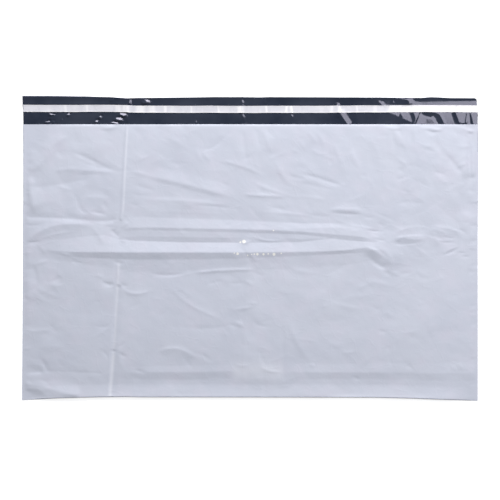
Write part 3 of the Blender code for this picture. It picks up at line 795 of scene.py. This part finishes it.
def backHeight(x, y):
    # Height of the pale underside: creased but flat on the table below the mouth, loose at the flap
    z = np.zeros_like(x)
    for noise, (cell, height, seed) in ((softNoise, underside["hills"]), (facetNoise, underside["facets"])):
        z = z + height * (1 + noise(x, y, cell, seed))
    for path in underside["creases"]:
        addCrease(z, x, y, path, underside["creaseHeight"], underside["creaseReach"], fade=0.0)
    z *= ramp((halfWidth - np.abs(x)) / underside["sideRun"]) * ramp((y - foldY) / underside["bottomRun"])
    onFlap = ramp((y - bag["mouthY"] + underside["flapRun"]) / underside["flapRun"])
    if not onFlap.any():
        return np.maximum(z, 0.0)
    return np.maximum(z * (1 - onFlap) + flapHeight(x, y) * onFlap, 0.0)


def stations(low, high, step, fine):
    # Places from low to high, packed closer near each fine spot: its place, half width and extra share
    x = np.linspace(low, high, 4000)
    density = np.ones_like(x) / step
    for place, half, extra in fine:
        density += extra / step * np.exp(-(((x - place) / half) ** 2))
    run = np.concatenate([[0], np.cumsum((density[1:] + density[:-1]) / 2 * np.diff(x))])
    count = int(round(run[-1]))
    return np.interp(np.linspace(0, run[-1], count + 1), run, x)


def foldLean(x, y):
    # Columns of the mesh lean with the lengthwise fold, so that it runs along one of them
    home = weave["foldColumn"]
    lean = readOff(weave["foldLine"], y) - home
    return x + lean * np.clip(1 - np.abs(x - home) / weave["foldRun"], 0, 1)


def sheetRows(columns, ys, height):
    # Rows of points across the bag, as x, y and z arrays with a row for each y
    x, share = np.meshgrid(columns, ys)
    x = foldLean(x, share)
    low = bottomEdge(x)
    y = share + (low - foldY) * np.clip(1 - (share - foldY) / outlineFade["bottom"], 0, 1)
    y = y + readOff(outline["flap"], x) * np.clip(1 - (flapEdgeY - share) / outlineFade["flap"], 0, 1)
    z = height(x, y)
    for side, name in ((-1, "left"), (1, "right")):
        x = x + readOff(outline[name], y) * np.clip(1 - (halfWidth - side * x) / outlineFade["sides"], 0, 1)
    turned = np.clip((share - flapEdgeY + flapShape["cornerRound"]) / flapShape["cornerRound"], 0, 1)
    cut = flapShape["cornerRound"] * (1 - np.sqrt(1 - turned**2))
    leftCut, rightCut = flapShape["cornerCuts"]
    leftLimit, rightLimit = flapShape["sideLimits"]
    rightReach = rightLimit * (turned == 0) - rightCut * cut
    limit = halfWidth + np.where(x > 0, rightReach, leftLimit - leftCut * cut)
    x = np.sign(x) * np.minimum(np.abs(x), limit)
    return x, y, z


def spanning(z, ys, kept, choose):
    # For each kept row, the lowest or highest of all rows from the kept one before it to the one after
    at = np.searchsorted(ys, kept)
    starts = np.maximum(np.concatenate([[0], at[:-1]]) - 1, 0)
    ends = np.concatenate([at[1:], [len(ys)]]) + 1
    return np.array([choose(z[a:b], axis=0) for a, b in zip(starts, ends)])


def meshFromRows(rows, rowMaterial):
    # Lines of points, each joined to the next and the last to the first.
    # A line may have twice the columns of its neighbour, and then three triangles join each pair of cells.
    points = np.concatenate([np.stack(row, axis=1) for row in rows]) * mm
    starts = np.cumsum([0] + [len(row[0]) for row in rows])
    faces, marks = [], []
    for row in range(len(rows)):
        after = (row + 1) % len(rows)
        here, there = np.arange(starts[row], starts[row + 1]), np.arange(starts[after], starts[after + 1])
        before = len(faces)
        if len(here) == len(there):
            faces += np.stack([here[:-1], here[1:], there[1:], there[:-1]], axis=1).tolist()
        else:
            turned = len(here) < len(there)
            fine, coarse = (there, here) if turned else (here, there)
            a, b, c = fine[:-2:2], fine[1::2], fine[2::2]
            threes = [(a, b, coarse[:-1]), (b, coarse[1:], coarse[:-1]), (b, c, coarse[1:])]
            stacks = [np.stack(three[::-1] if turned else three, axis=1) for three in threes]
            faces += np.concatenate(stacks).tolist()
        marks += [rowMaterial(row)] * (len(faces) - before)
    return points, faces, marks, starts


def zipper(points, left, right):
    # Triangles between two paths that start and end side by side
    def reach(path):
        steps = np.linalg.norm(np.diff(points[path], axis=0), axis=1)
        run = np.concatenate([[0], np.cumsum(steps)])
        return run / run[-1]

    leftRun, rightRun = reach(left), reach(right)
    i, j, faces = 0, 0, []
    while i < len(left) - 1 or j < len(right) - 1:
        goLeft = j == len(right) - 1 or (i < len(left) - 1 and leftRun[i + 1] <= rightRun[j + 1])
        if goLeft:
            faces.append([left[i], left[i + 1], right[j]])
            i += 1
        else:
            faces.append([left[i], right[j + 1], right[j]])
            j += 1
    return faces


def closedSheet(name, rows, split, rowMaterial, materials):
    # The ring of rows is closed at both sides, from its first part to its second
    points, faces, marks, starts = meshFromRows(rows, rowMaterial)
    for ends, turned in ((starts[:-1], True), (starts[1:] - 1, False)):
        caps = zipper(points, ends[:split].tolist(), ends[:split - 1:-1].tolist())
        faces += [face[::-1] for face in caps] if turned else caps
        marks += [0] * len(caps)
    return newMesh(name, points, faces, materials, marks)


def placed(name, data):
    # A new object in the scene
    item = bpy.data.objects.new(name, data)
    bpy.context.scene.collection.objects.link(item)
    return item


sharpAngle = 70.0  # degrees between faces, past which an edge shades sharp


def newMesh(name, points, faces, materials, marks):
    mesh = bpy.data.meshes.new(name)
    mesh.from_pydata(points.tolist(), [], faces)
    for material in materials:
        mesh.materials.append(material)
    mesh.polygons.foreach_set("material_index", marks)
    mesh.shade_smooth()
    mesh.set_sharp_from_angle(angle=math.radians(sharpAngle))
    mesh.update()
    return placed(name, mesh)


# Materials

def setInputs(tree, node, inputs):
    # Inputs are given by name or in order, each as a constant or as another node's output
    for key, value in inputs.items() if isinstance(inputs, dict) else enumerate(inputs):
        if isinstance(value, bpy.types.NodeSocket):
            tree.links.new(value, node.inputs[key])
        else:
            node.inputs[key].default_value = value


def newNode(tree, kind, inputs, result, **settings):
    node = tree.nodes.new(kind)
    for name, value in settings.items():
        setattr(node, name, value)
    setInputs(tree, node, inputs)
    return node.outputs[result]


def newMaterial(name):
    material = bpy.data.materials.new(name)
    material.use_nodes = True
    tree = material.node_tree
    return material, tree, tree.nodes["Principled BSDF"]


def objectPlace(tree):
    return newNode(tree, "ShaderNodeTexCoord", {}, "Object")


def noiseNode(tree, place, scale, detail=3.0, roughness=0.55, stretch=None):
    if stretch:
        place = newNode(tree, "ShaderNodeMapping", {"Vector": place, "Scale": stretch}, "Vector")
    inputs = {"Vector": place, "Scale": scale, "Detail": detail, "Roughness": roughness}
    return newNode(tree, "ShaderNodeTexNoise", inputs, "Fac")


def rangeNode(tree, value, low, high, toLow=0.0, toHigh=1.0):
    inputs = {"Value": value, "From Min": low, "From Max": high, "To Min": toLow, "To Max": toHigh}
    return newNode(tree, "ShaderNodeMapRange", inputs, "Result")


def mixNode(tree, share, first, second):
    # The node's colour sockets are inputs 6 and 7 and output 2
    first, second = ((*colour, 1.0) if isinstance(colour, tuple) else colour for colour in (first, second))
    return newNode(tree, "ShaderNodeMix", {0: share, 6: first, 7: second}, 2, data_type="RGBA")


def bumpNode(tree, height, strength, distance, before=None):
    inputs = {"Height": height, "Strength": strength, "Distance": distance}
    if before:
        inputs["Normal"] = before
    return newNode(tree, "ShaderNodeBump", inputs, "Normal")


def mathNode(tree, operation, *values, vector=None):
    # For an operation on vectors, vector names the output
    kind = "ShaderNodeVectorMath" if vector else "ShaderNodeMath"
    return newNode(tree, kind, values, vector or "Value", operation=operation)


# Noise is scale, detail, roughness and stretch, and a bump is strength and distance
paleFinish = {
    "colour": (0.600, 0.628, 0.722),
    "shade": (0.578, 0.608, 0.706),
    "lilac": (0.620, 0.628, 0.730),
    "cloud": (9.0, 4.0),  # where it is shaded
    "bloom": (24.0, 3.0, 0.6),  # where it is lilac
    "roughness": (0.44, 0.54),
    "patch": (26.0, 3.0),  # where it is rougher
    "sheen": 0.3,  # how strongly the surface mirrors, 0.5 for bare plastic
    "fold": (62.0, 4.0, 0.6),
    "foldBump": (0.16, 0.0014),
    # sharp little creases: scale, width and depth
    "hairlines": [(31.0, 0.08, 0.00007), (52.0, 0.12, 0.00005)],
    "skin": (420.0, 2.0),
    "skinBump": (0.05, 0.0003),
    # x, y and radius of the painted highlights: pale glints painted on the pleat's crumples
    "paintedGlints": [(-23, -9.6, 2.3), (12.7, -10.2, 2.2), (23.8, -10.3, 2.0), (42.7, -10.4, 2.6),
               (7.3, -10.2, 1.4), (32.2, -9.6, 1.3), (55.8, -8.9, 1.3), (-4.7, -12.2, 1.2),
               (2.5, -10.6, 1.0), (41.8, 32.5, 1.3), (-11.6, 12.6, 3.2), (-18, 11.4, 1.6),
               (-29, -8.6, 1.2)],
    # colour of the painted glints
    "paintedGlintColour": (0.95, 0.94, 0.90),
    "pressed": (0.72, 0.74, 0.82),  # painted highlight: paler colour along the folds and across the bottom
    # from, to, half width and share
    "pressedFolds": [((-237.5, -20), (-246.5, -184), 4.0, 0.45), ((-247, -184), (-255, -275), 5.0, 0.75),
                     ((-222.5, 222), (-230, 60), 2.6, 0.5), ((-36, -221), (62, -221), 24.0, 0.5)],
    "pressedEnd": 10.0,  # how far in from its ends a painted fold highlight fades
}


def hairlines(tree, place, scale, width):
    # Straight little creases: some of the borders of uneven cells
    bend = newNode(tree, "ShaderNodeTexNoise", {"Vector": place, "Scale": scale * 0.5}, "Color")
    moved = mathNode(tree, "MULTIPLY_ADD", bend, (1.2 / scale, 1.2 / scale, 0.0), place, vector="Vector")
    border = newNode(tree, "ShaderNodeTexVoronoi", {"Vector": moved, "Scale": scale}, "Distance",
                     voronoi_dimensions="2D", feature="DISTANCE_TO_EDGE")
    line = rangeNode(tree, border, 0.0, width, 1.0, 0.0)
    some = rangeNode(tree, noiseNode(tree, place, scale * 1.3, 2.0), 0.48, 0.62)
    return mathNode(tree, "MULTIPLY", line, some)


def nearLine(tree, place, start, end, half, share):
    # A band along a line: share in its middle, none outside its half width or past its ends
    run = math.dist(start, end)
    along = ((end[0] - start[0]) / run, (end[1] - start[1]) / run, 0.0)
    across = (along[1], -along[0], 0.0)
    middle = (start[0] + end[0]) / 2 * along[0] + (start[1] + end[1]) / 2 * along[1]
    offset = start[0] * across[0] + start[1] * across[1]
    parts = []
    for direction, at, reach, soft in (
        (along, middle, run / 2, paleFinish["pressedEnd"]),
        (across, offset, half, half),
    ):
        dot = mathNode(tree, "DOT_PRODUCT", place, direction, vector="Value")
        away = mathNode(tree, "ABSOLUTE", mathNode(tree, "SUBTRACT", dot, at * mm))
        parts.append(rangeNode(tree, away, reach * mm, (reach - soft) * mm))
    return rangeNode(tree, mathNode(tree, "MULTIPLY", *parts), 0.0, 1.0, 0.0, share)


# Painted highlights: pale spots where glints on the pleat are painted into the colour
def paintedGlintSpots(tree, place):
    flat = mathNode(tree, "MULTIPLY", place, (1.0, 1.0, 0.0), vector="Vector")
    spots = None
    for x, y, radius in paleFinish["paintedGlints"]:
        away = mathNode(tree, "DISTANCE", flat, (x * mm, y * mm, 0.0), vector="Value")
        spot = rangeNode(tree, away, 1.2 * radius * mm, 0.8 * radius * mm)
        spots = mathNode(tree, "MAXIMUM", spots, spot) if spots else spot
    return spots


def paleFilmMaterial():
    material, tree, shader = newMaterial("paleFilm")
    place = objectPlace(tree)
    cloud = noiseNode(tree, place, *paleFinish["cloud"])
    bloom = noiseNode(tree, place, *paleFinish["bloom"])
    colour = mixNode(tree, rangeNode(tree, cloud, 0.35, 0.65), paleFinish["shade"], paleFinish["colour"])
    colour = mixNode(tree, rangeNode(tree, bloom, 0.48, 0.70, 0.0, 0.7), colour, paleFinish["lilac"])
    # Painted highlights: paler bands along the folds and across the bottom
    for fold in paleFinish["pressedFolds"]:
        colour = mixNode(tree, nearLine(tree, place, *fold), colour, paleFinish["pressed"])
    patch = noiseNode(tree, place, *paleFinish["patch"])
    bumps = bumpNode(tree, noiseNode(tree, place, *paleFinish["fold"]), *paleFinish["foldBump"])
    for scale, width, depth in paleFinish["hairlines"]:
        bumps = bumpNode(tree, hairlines(tree, place, scale, width), 1.0, depth, bumps)
    setInputs(tree, shader, {
        # painted highlights: the glint spots are mixed into the base colour
        "Base Color": mixNode(tree, paintedGlintSpots(tree, place), colour, paleFinish["paintedGlintColour"]),
        "Specular IOR Level": paleFinish["sheen"],
        "Roughness": rangeNode(tree, patch, 0.3, 0.7, *paleFinish["roughness"]),
        "Normal": bumpNode(tree, noiseNode(tree, place, *paleFinish["skin"]), *paleFinish["skinBump"], bumps),
    })
    return material


darkFinish = {
    "colour": (0.036, 0.044, 0.067),
    "shade": (0.017, 0.024, 0.042),
    "cloud": (14.0, 4.0),
    "gloss": (0.86, 0.84, 1.0),  # tint of what it mirrors
    "sheen": 0.62,
    "roughness": (0.05, 0.12),
    "patch": (40.0, 3.0),
    "crinkle": (95.0, 4.0, 0.6, (1.0, 0.45, 1.0)),
    "crinkleBump": (0.08, 0.0012),
}


def darkFilmMaterial():
    material, tree, shader = newMaterial("darkFilm")
    place = objectPlace(tree)
    cloud = noiseNode(tree, place, *darkFinish["cloud"])
    patch = noiseNode(tree, place, *darkFinish["patch"])
    crinkle = noiseNode(tree, place, *darkFinish["crinkle"])
    colour = mixNode(tree, rangeNode(tree, cloud, 0.35, 0.65), darkFinish["shade"], darkFinish["colour"])
    setInputs(tree, shader, {
        "Base Color": colour,
        "Roughness": rangeNode(tree, patch, 0.3, 0.7, *darkFinish["roughness"]),
        "Specular Tint": (*darkFinish["gloss"], 1.0),
        "Specular IOR Level": darkFinish["sheen"],
        "Normal": bumpNode(tree, crinkle, *darkFinish["crinkleBump"]),
    })
    return material


# Grey where the liner is stuck on the glue and white where it lifts; part of the white is painted highlight
linerFinish = {
    "stuck": (0.69, 0.69, 0.75),
    "lifted": (0.93, 0.92, 0.95),
    "cloud": (60.0, 3.0, 0.5, (1.0, 0.5, 1.0)),
    "mottle": 0.12,
    "roughness": (0.22, 0.34),
    "grain": (160.0, 3.0),
    "grainBump": (0.10, 0.0006),
}


def linerMaterial():
    material, tree, shader = newMaterial("siliconeLiner")
    place = objectPlace(tree)
    # lift sets how white the liner is: partly where it lies loose, partly painted highlight and painted shade
    lift = newNode(tree, "ShaderNodeAttribute", {}, "Fac", attribute_name="lift")
    cloud = noiseNode(tree, place, *linerFinish["cloud"])
    mottle = rangeNode(tree, cloud, 0.3, 0.7, -linerFinish["mottle"], linerFinish["mottle"])
    total = mathNode(tree, "ADD", lift, mottle)
    total.node.use_clamp = True
    setInputs(tree, shader, {
        "Base Color": mixNode(tree, total, linerFinish["stuck"], linerFinish["lifted"]),
        "Roughness": rangeNode(tree, cloud, 0.3, 0.7, *linerFinish["roughness"]),
        "Normal": bumpNode(tree, noiseNode(tree, place, *linerFinish["grain"]), *linerFinish["grainBump"]),
    })
    return material


# Darker than the pale face, along the side welds
weldFinish = {
    "colours": ((0.26, 0.29, 0.38), (0.42, 0.45, 0.54)),
    "cloud": (70.0, 3.0),
    "roughness": 0.4,
}


def weldMaterial():
    material, tree, shader = newMaterial("meltedWeld")
    cloud = noiseNode(tree, objectPlace(tree), *weldFinish["cloud"])
    colour = mixNode(tree, cloud, *weldFinish["colours"])
    setInputs(tree, shader, {"Base Color": colour, "Roughness": weldFinish["roughness"]})
    return material


glueFinish = {
    "colours": ((0.60, 0.55, 0.44), (0.70, 0.66, 0.56)),
    "cloud": (50.0, 3.0),
    "roughness": 0.18,
    "grain": (140.0, 3.0),
    "grainBump": (0.2, 0.0006),
}


def glueMaterial():
    material, tree, shader = newMaterial("hotMeltGlue")
    place = objectPlace(tree)
    setInputs(tree, shader, {
        "Base Color": mixNode(tree, noiseNode(tree, place, *glueFinish["cloud"]), *glueFinish["colours"]),
        "Roughness": glueFinish["roughness"],
        "Normal": bumpNode(tree, noiseNode(tree, place, *glueFinish["grain"]), *glueFinish["grainBump"]),
    })
    return material


paleFilm = paleFilmMaterial()
meltedWeld = weldMaterial()
darkFilm = darkFilmMaterial()
siliconeLiner = linerMaterial()
hotMeltGlue = glueMaterial()
print("materials ready")

# The folded film, as one closed skin: pale outside, dark inside
columns = stations(-halfWidth, halfWidth, weave["columnStep"], weave["fineColumns"])
flapColumns = np.interp(np.arange(2 * len(columns) - 1) / 2, np.arange(len(columns)), columns)
frontYs = stations(foldY, bag["mouthY"], weave["rowStep"], weave["fineRows"])
hiddenYs = np.linspace(foldY + 1.2, bag["mouthY"], weave["hiddenRows"])
flapSpans = [(low, min(high, flapEdgeY), count) for low, high, count in weave["flapRows"]]
flapYs = np.concatenate([np.linspace(*span) for span in flapSpans])
underYs = np.linspace(foldY, bag["mouthY"], weave["underRows"])
underFlapYs = np.linspace(bag["mouthY"] + 4, flapEdgeY, weave["underFlapRows"])

# Room between the skins in the pocket
pocketRoom = {
    "front": 0.05,  # least between the pale front and the dark floor, past two skins
    "blend": 0.25,
    "roof": 0.02,
    "step": 0.3,  # most that the dark roof rises from one column to the next
}


def backSkin(across, ys, lift):
    x, y, z = sheetRows(across, ys, backHeight)
    return x, y, z + lift


def asRows(skin):
    return [(skin[0][i], skin[1][i], skin[2][i]) for i in range(len(skin[0]))]


def fineRows(ys):
    finer = weave["fineShare"]
    return np.interp(np.arange((len(ys) - 1) * finer + 1) / finer, np.arange(len(ys)), ys)


def pocketSkins(front):
    # The dark floor lies over the creased back, the front is kept clear of it, and the dark roof is between
    skin = bag["skin"]
    fine = fineRows(hiddenYs)
    floor = spanning(sheetRows(columns, fine, backHeight)[2], fine, hiddenYs, np.max) + skin
    steps = np.maximum(floor[:-1], floor[1:])
    step = np.clip(np.searchsorted(hiddenYs, frontYs) - 1, 0, len(steps) - 1)
    least = steps[step] + skin + pocketRoom["front"]
    lifted = least + np.logaddexp(0, (front[2] - least) / pocketRoom["blend"]) * pocketRoom["blend"]
    front = (front[0], front[1], lifted)
    x, y, _ = sheetRows(columns, hiddenYs, backHeight)
    lowest = floor + pocketRoom["roof"]
    roof = np.maximum(spanning(front[2], frontYs, hiddenYs, np.min) - skin, lowest)
    beside = np.minimum(roof[:, :-2], roof[:, 2:]) + pocketRoom["step"]
    roof[:, 1:-1] = np.maximum(np.minimum(roof[:, 1:-1], beside), lowest[:, 1:-1])
    return front, (x, y, roof), (x, y, floor)


def underFlapSkin():
    # Coarser than the flap's face, so each row stays under what the face does around it
    fine = fineRows(underFlapYs)
    lowest = spanning(sheetRows(flapColumns, fine, backHeight)[2], fine, underFlapYs, np.min)
    x, y, _ = sheetRows(flapColumns, underFlapYs, backHeight)
    return x, y, np.maximum(lowest - pocketRoom["roof"], 0.0)


def buildFilm():
    under = backSkin(columns, underYs, 0.0)
    front, roof, floor = pocketSkins(sheetRows(columns, frontYs, frontHeight))
    flap = backSkin(flapColumns, flapYs, bag["skin"])
    outer = asRows(underFlapSkin())[::-1] + asRows(under)[::-1] + asRows(front)
    inner = asRows(roof)[::-1] + asRows(floor) + asRows(flap)
    split, last = len(outer), len(outer) + len(inner) - 1

    def rowMaterial(row):
        return 1 if split <= row < last else 0

    return closedSheet("mailerFilm", outer + inner, split, rowMaterial, [paleFilm, darkFilm])


film = buildFilm()
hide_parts("outer_film_ply", "inner_film_ply")
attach(film, "root")
print("film:", len(film.data.polygons), "faces")

# Release liner, stuck down along its middle and loose at its edges and wrinkles
liner = {
    "halfWidth": 6.3,
    "endGap": 0.8,
    "thickness": 0.12,
    "gap": 0.4,  # to the dark film under it, where the glue is
    "columnStep": 1.3,
    "rows": 13,
    "edgeLift": 0.35,
    "edgeWidth": 1.7,
    "edgePale": 0.75,  # how much paler it looks at its loose edges
    "drift": [(-413, 0.9), (-250, 0.5), (-205, -0.9), (60, -1.0), (180, -0.6), (250, 0.1), (320, 0.5),
              (413, 0.1)],
    # spacing, height and seed of what varies: its path, its pale patches, its edges and where the painted
    # highlight at its right end begins
    "wander": (40.0, 0.25, 91),
    "patches": (22.0, 0.22, 93),
    "edgeChange": (18.0, 0.4, 95),
    "paintedLightWobble": (30.0, 14, 97),
    # place, reach and how far it comes away
    "wrinkles": [(-335, 3.5, 0.55), (-316, 9, 0.35), (-296, 3, 0.5), (-240, 8, 0.6), (-226, 8, 0.8),
                 (-200, 12, 0.75), (-178, 9, 0.7), (-154, 3.5, 0.6), (-142, 5, 0.25), (-107, 2.2, 0.6),
                 (-58, 2.2, 0.6), (-19, 6, 0.95), (29, 2.6, 0.75), (65, 2.8, 0.8), (74, 3.4, 0.95),
                 (100, 6, 0.25), (147, 3.5, 0.5), (162, 4, 0.5), (193, 2.5, 0.5), (226, 5, 0.4)],
    "wrinkleHeight": 0.45,
    "wrinkleSlant": 0.9,
    # past here the liner is painted whiter: a painted highlight at its right end
    "paintedLightFrom": 236.0,
    "paintedLightRun": 18.0,
    "dips": [(274, 4), (291, 4), (372, 3)],  # creases across the right end, greyer in them: painted shade
    "dipHeight": 0.5,
    "dipPaintedShade": 0.55,
    "dipSlant": 2.2,
}


def acrossLiner(x, place, slant, reach):
    # From 1 along a line across the liner to 0 at its reach
    return np.clip(1 - np.abs(x - place - slant) / reach, 0, 1)


def buildLiner():
    x0, x1 = -halfWidth + liner["endGap"], halfWidth - liner["endGap"]
    xs = np.linspace(x0, x1, int((x1 - x0) / liner["columnStep"]) + 1)
    x, v = np.meshgrid(xs, np.linspace(-1, 1, liner["rows"]))
    wander = layer(softNoise, x, v * 0, *liner["wander"])
    y = linerY + readOff(liner["drift"], x) + wander + v * liner["halfWidth"]
    rim = np.clip(1 - (liner["halfWidth"] * (1 - np.abs(v))) / liner["edgeWidth"], 0, 1)
    lift = liner["edgePale"] * rim**1.2 + layer(softNoise, x, v * 6, *liner["patches"])
    seat = np.maximum(backHeight(x, y), backHeight(x, np.full_like(y, linerY)))
    edge = liner["edgeLift"] * rim * (0.6 + layer(softNoise, x, v * 4, *liner["edgeChange"]))
    z = seat + bag["skin"] + liner["gap"] + edge
    # Wrinkles rise and are painted paler: partly the liner lifting off the glue, partly painted highlight
    for place, reach, loose in liner["wrinkles"]:
        shape = acrossLiner(x, place, liner["wrinkleSlant"] * v * math.sin(place), reach)
        z += liner["wrinkleHeight"] * loose * shape**2
        lift += loose * np.minimum(shape * 1.6, 1)
    # Painted highlight: the liner is painted white towards its right end, with no lift in its shape
    uneven = layer(softNoise, x, v, *liner["paintedLightWobble"])
    lift = np.maximum(lift, ramp((x - liner["paintedLightFrom"] + uneven) / liner["paintedLightRun"]))
    # Creases across the right end: raised a little, with painted shade darkening them
    for place, reach in liner["dips"]:
        shape = acrossLiner(x, place, liner["dipSlant"] * v, reach)
        z += liner["dipHeight"] * shape
        lift -= liner["dipPaintedShade"] * shape
    lift = np.clip(lift, 0, 1)
    top = asRows((x, y, z + liner["thickness"]))
    bottom = asRows((x, y, z))[::-1]
    item = closedSheet("releaseLiner", bottom + top, len(bottom), lambda row: 0, [siliconeLiner])
    spread = item.data.attributes.new("lift", "FLOAT", "POINT")
    spread.data.foreach_set("value", np.concatenate([lift[::-1].ravel(), lift.ravel()]).astype(np.float32))
    return item


linerPiece = buildLiner()
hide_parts("release_liner")
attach(linerPiece, "root")
print("liner:", len(linerPiece.data.polygons), "faces")

# Beads that follow a line: the melted side welds and the glue under the liner
weld = {
    "inset": 0.35,  # from the film's edge
    "ends": (0.8, 0.6),  # how far it stops short of the fold and of the mouth
    "height": 0.32,
    "points": 320,
    "bead": {"Width": 0.6 * mm, "Height": 0.6 * mm, "Unevenness": 0.5, "Spacing": 2.0 * mm},
}
glueBead = {
    "height": 0.16,  # over the dark film
    "points": 420,
    "bead": {"Width": 9.0 * mm, "Height": 0.24 * mm, "Unevenness": 0.1, "Spacing": 2.5 * mm},
}
beadDefaults = {"Width": 0.001, "Height": 0.001, "Unevenness": 0.2, "Spacing": 0.002}


def beadTree(name):
    tree = bpy.data.node_groups.new(name, "GeometryNodeTree")
    face = tree.interface
    face.new_socket("Geometry", in_out="INPUT", socket_type="NodeSocketGeometry")
    for label, value in beadDefaults.items():
        face.new_socket(label, in_out="INPUT", socket_type="NodeSocketFloat").default_value = value
    face.new_socket("Finish", in_out="INPUT", socket_type="NodeSocketMaterial")
    face.new_socket("Geometry", in_out="OUTPUT", socket_type="NodeSocketGeometry")
    start = tree.nodes.new("NodeGroupInput").outputs
    end = tree.nodes.new("NodeGroupOutput")
    line = newNode(tree, "GeometryNodeMeshToCurve", {"Mesh": start["Geometry"]}, "Curve")
    line = newNode(tree, "GeometryNodeResampleCurve", {"Curve": line, "Length": start["Spacing"]}, "Curve",
                   mode="LENGTH")
    line = newNode(tree, "GeometryNodeSetCurveNormal", {"Curve": line}, "Curve", mode="Z_UP")
    chance = newNode(tree, "ShaderNodeTexNoise", {"Scale": 140.0}, "Fac")
    wobble = mathNode(tree, "MULTIPLY_ADD", chance, start["Unevenness"], 0.75)
    line = newNode(tree, "GeometryNodeSetCurveRadius", {"Curve": line, "Radius": wobble}, "Curve")
    circle = newNode(tree, "GeometryNodeCurvePrimitiveCircle", {"Resolution": 10, "Radius": 0.5}, "Curve")
    sides = {"X": start["Width"], "Y": start["Height"], "Z": 1.0}
    size = newNode(tree, "ShaderNodeCombineXYZ", sides, "Vector")
    section = newNode(tree, "GeometryNodeTransform", {"Geometry": circle, "Scale": size}, "Geometry")
    inputs = {"Curve": line, "Profile Curve": section, "Fill Caps": True}
    inputs["Scale"] = newNode(tree, "GeometryNodeInputRadius", {}, "Radius")
    sweep = newNode(tree, "GeometryNodeCurveToMesh", inputs, "Mesh")
    solid = newNode(tree, "GeometryNodeRealizeInstances", {"Geometry": sweep}, "Geometry")
    inputs = {"Geometry": solid, "Material": start["Finish"]}
    setInputs(tree, end, {"Geometry": newNode(tree, "GeometryNodeSetMaterial", inputs, "Geometry")})
    return tree


beads = beadTree("beadAlongLine")


def makeBead(name, lines, sizes, finish):
    guide = bpy.data.meshes.new(name + "Line")
    points, edges = [], []
    for line in lines:
        first = len(points)
        points += [tuple(p * mm for p in point) for point in line]
        edges += [(n, n + 1) for n in range(first, len(points) - 1)]
    guide.from_pydata(points, edges, [])
    carrier = placed(name + "Line", guide)
    change = carrier.modifiers.new("bead", "NODES")
    change.node_group = beads
    values = {**sizes, "Finish": finish}
    for item in beads.interface.items_tree:
        if item.in_out == "INPUT" and item.name in values:
            change[item.identifier] = values[item.name]
    seen = bpy.context.evaluated_depsgraph_get()
    mesh = bpy.data.meshes.new_from_object(carrier.evaluated_get(seen), depsgraph=seen)
    bpy.data.objects.remove(carrier, do_unlink=True)
    mesh.name = name
    mesh.shade_smooth()
    return placed(name, mesh)


def weldLine(side):
    low, high = weld["ends"]
    ys = np.linspace(foldY + low, bag["mouthY"] - high, weld["points"])
    return [(side * (halfWidth - weld["inset"]), y, weld["height"]) for y in ys]


welds = makeBead("sideWelds", [weldLine(-1), weldLine(1)], weld["bead"], meltedWeld)
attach(welds, "root")

glueXs = np.linspace(glueLow[0] / mm, glueHigh[0] / mm, glueBead["points"])
glueYs = np.full_like(glueXs, linerY)
underGlue = backHeight(glueXs.reshape(1, -1), glueYs.reshape(1, -1))[0]
glueZs = underGlue + bag["skin"] + glueBead["height"]
glue = makeBead("glueStrip", [list(zip(glueXs, glueYs, glueZs))], glueBead["bead"], hotMeltGlue)
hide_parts("adhesive_strip")
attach(glue, "root")
print("welds and glue:", len(welds.data.polygons), len(glue.data.polygons), "faces")

# Table, light and camera
studio = {
    "tableSize": 8.0,
    "tableZ": -0.0002,
    "tableColour": (0.93, 0.93, 0.93),
    "tableGlow": 0.5,
    "skyColour": (0.94, 0.97, 1.0),
    "skyStrength": 0.19,
    "far": {"at": (0.0, 3.40, 1.85), "size": (2.7, 1.35), "power": 159.0, "colour": (1.0, 0.99, 0.985)},
    "side": {"at": (1.40, 1.20, 2.80), "size": (1.6, 1.7), "power": 49.5, "colour": (0.99, 0.985, 1.0)},
}


def buildTable():
    half, low = studio["tableSize"] / 2, studio["tableZ"]
    corners = [(-half, -half, low), (half, -half, low), (half, half, low), (-half, half, low)]
    mesh = bpy.data.meshes.new("studioTable")
    mesh.from_pydata(corners, [], [(0, 1, 2, 3)])
    table = placed("studioTable", mesh)
    material, tree, shader = newMaterial("studioWhite")
    setInputs(tree, shader, {"Base Color": (*studio["tableColour"], 1.0), "Roughness": 0.9})
    rays = tree.nodes.new("ShaderNodeLightPath").outputs
    seen = mathNode(tree, "MAXIMUM", rays["Is Camera Ray"], rays["Is Glossy Ray"])
    seen = mathNode(tree, "MAXIMUM", seen, rays["Is Transmission Ray"])
    strength = mathNode(tree, "MULTIPLY", seen, studio["tableGlow"])
    glow = newNode(tree, "ShaderNodeEmission", {"Strength": strength}, "Emission")
    both = newNode(tree, "ShaderNodeAddShader", (shader.outputs["BSDF"], glow), "Shader")
    setInputs(tree, tree.nodes["Material Output"], {"Surface": both})
    mesh.materials.append(material)


def addSoftbox(name, setup):
    light = bpy.data.lights.new(name, "AREA")
    light.shape = "RECTANGLE"
    light.size, light.size_y = setup["size"]
    light.energy = setup["power"]
    light.color = setup["colour"]
    lamp = placed(name, light)
    lamp.location = setup["at"]
    aim = lamp.location.copy()
    aim.negate()
    lamp.rotation_euler = aim.to_track_quat("-Z", "Y").to_euler()


buildTable()
addSoftbox("farSoftbox", studio["far"])
addSoftbox("sideSoftbox", studio["side"])
world = bpy.data.worlds.new("paleRoom")
world.use_nodes = True
sky = {"Color": (*studio["skyColour"], 1.0), "Strength": studio["skyStrength"]}
setInputs(world.node_tree, world.node_tree.nodes["Background"], sky)
bpy.context.scene.world = world
bpy.context.scene.view_settings.view_transform = "Standard"

portrait = {
    "lens": 70.0,
    "sensor": 36.0,
    "frameWidth": 0.9070,  # how much of the table the picture spans
    "centre": (-0.0006, -0.0027),
}
camera = bpy.data.cameras.new("portraitCamera")
camera.lens = portrait["lens"]
camera.sensor_width = portrait["sensor"]
cameraItem = placed("portraitCamera", camera)
cameraHeight = portrait["frameWidth"] * portrait["lens"] / portrait["sensor"]
cameraItem.location = (*portrait["centre"], cameraHeight)
bpy.context.scene.camera = cameraItem
print("studio ready")
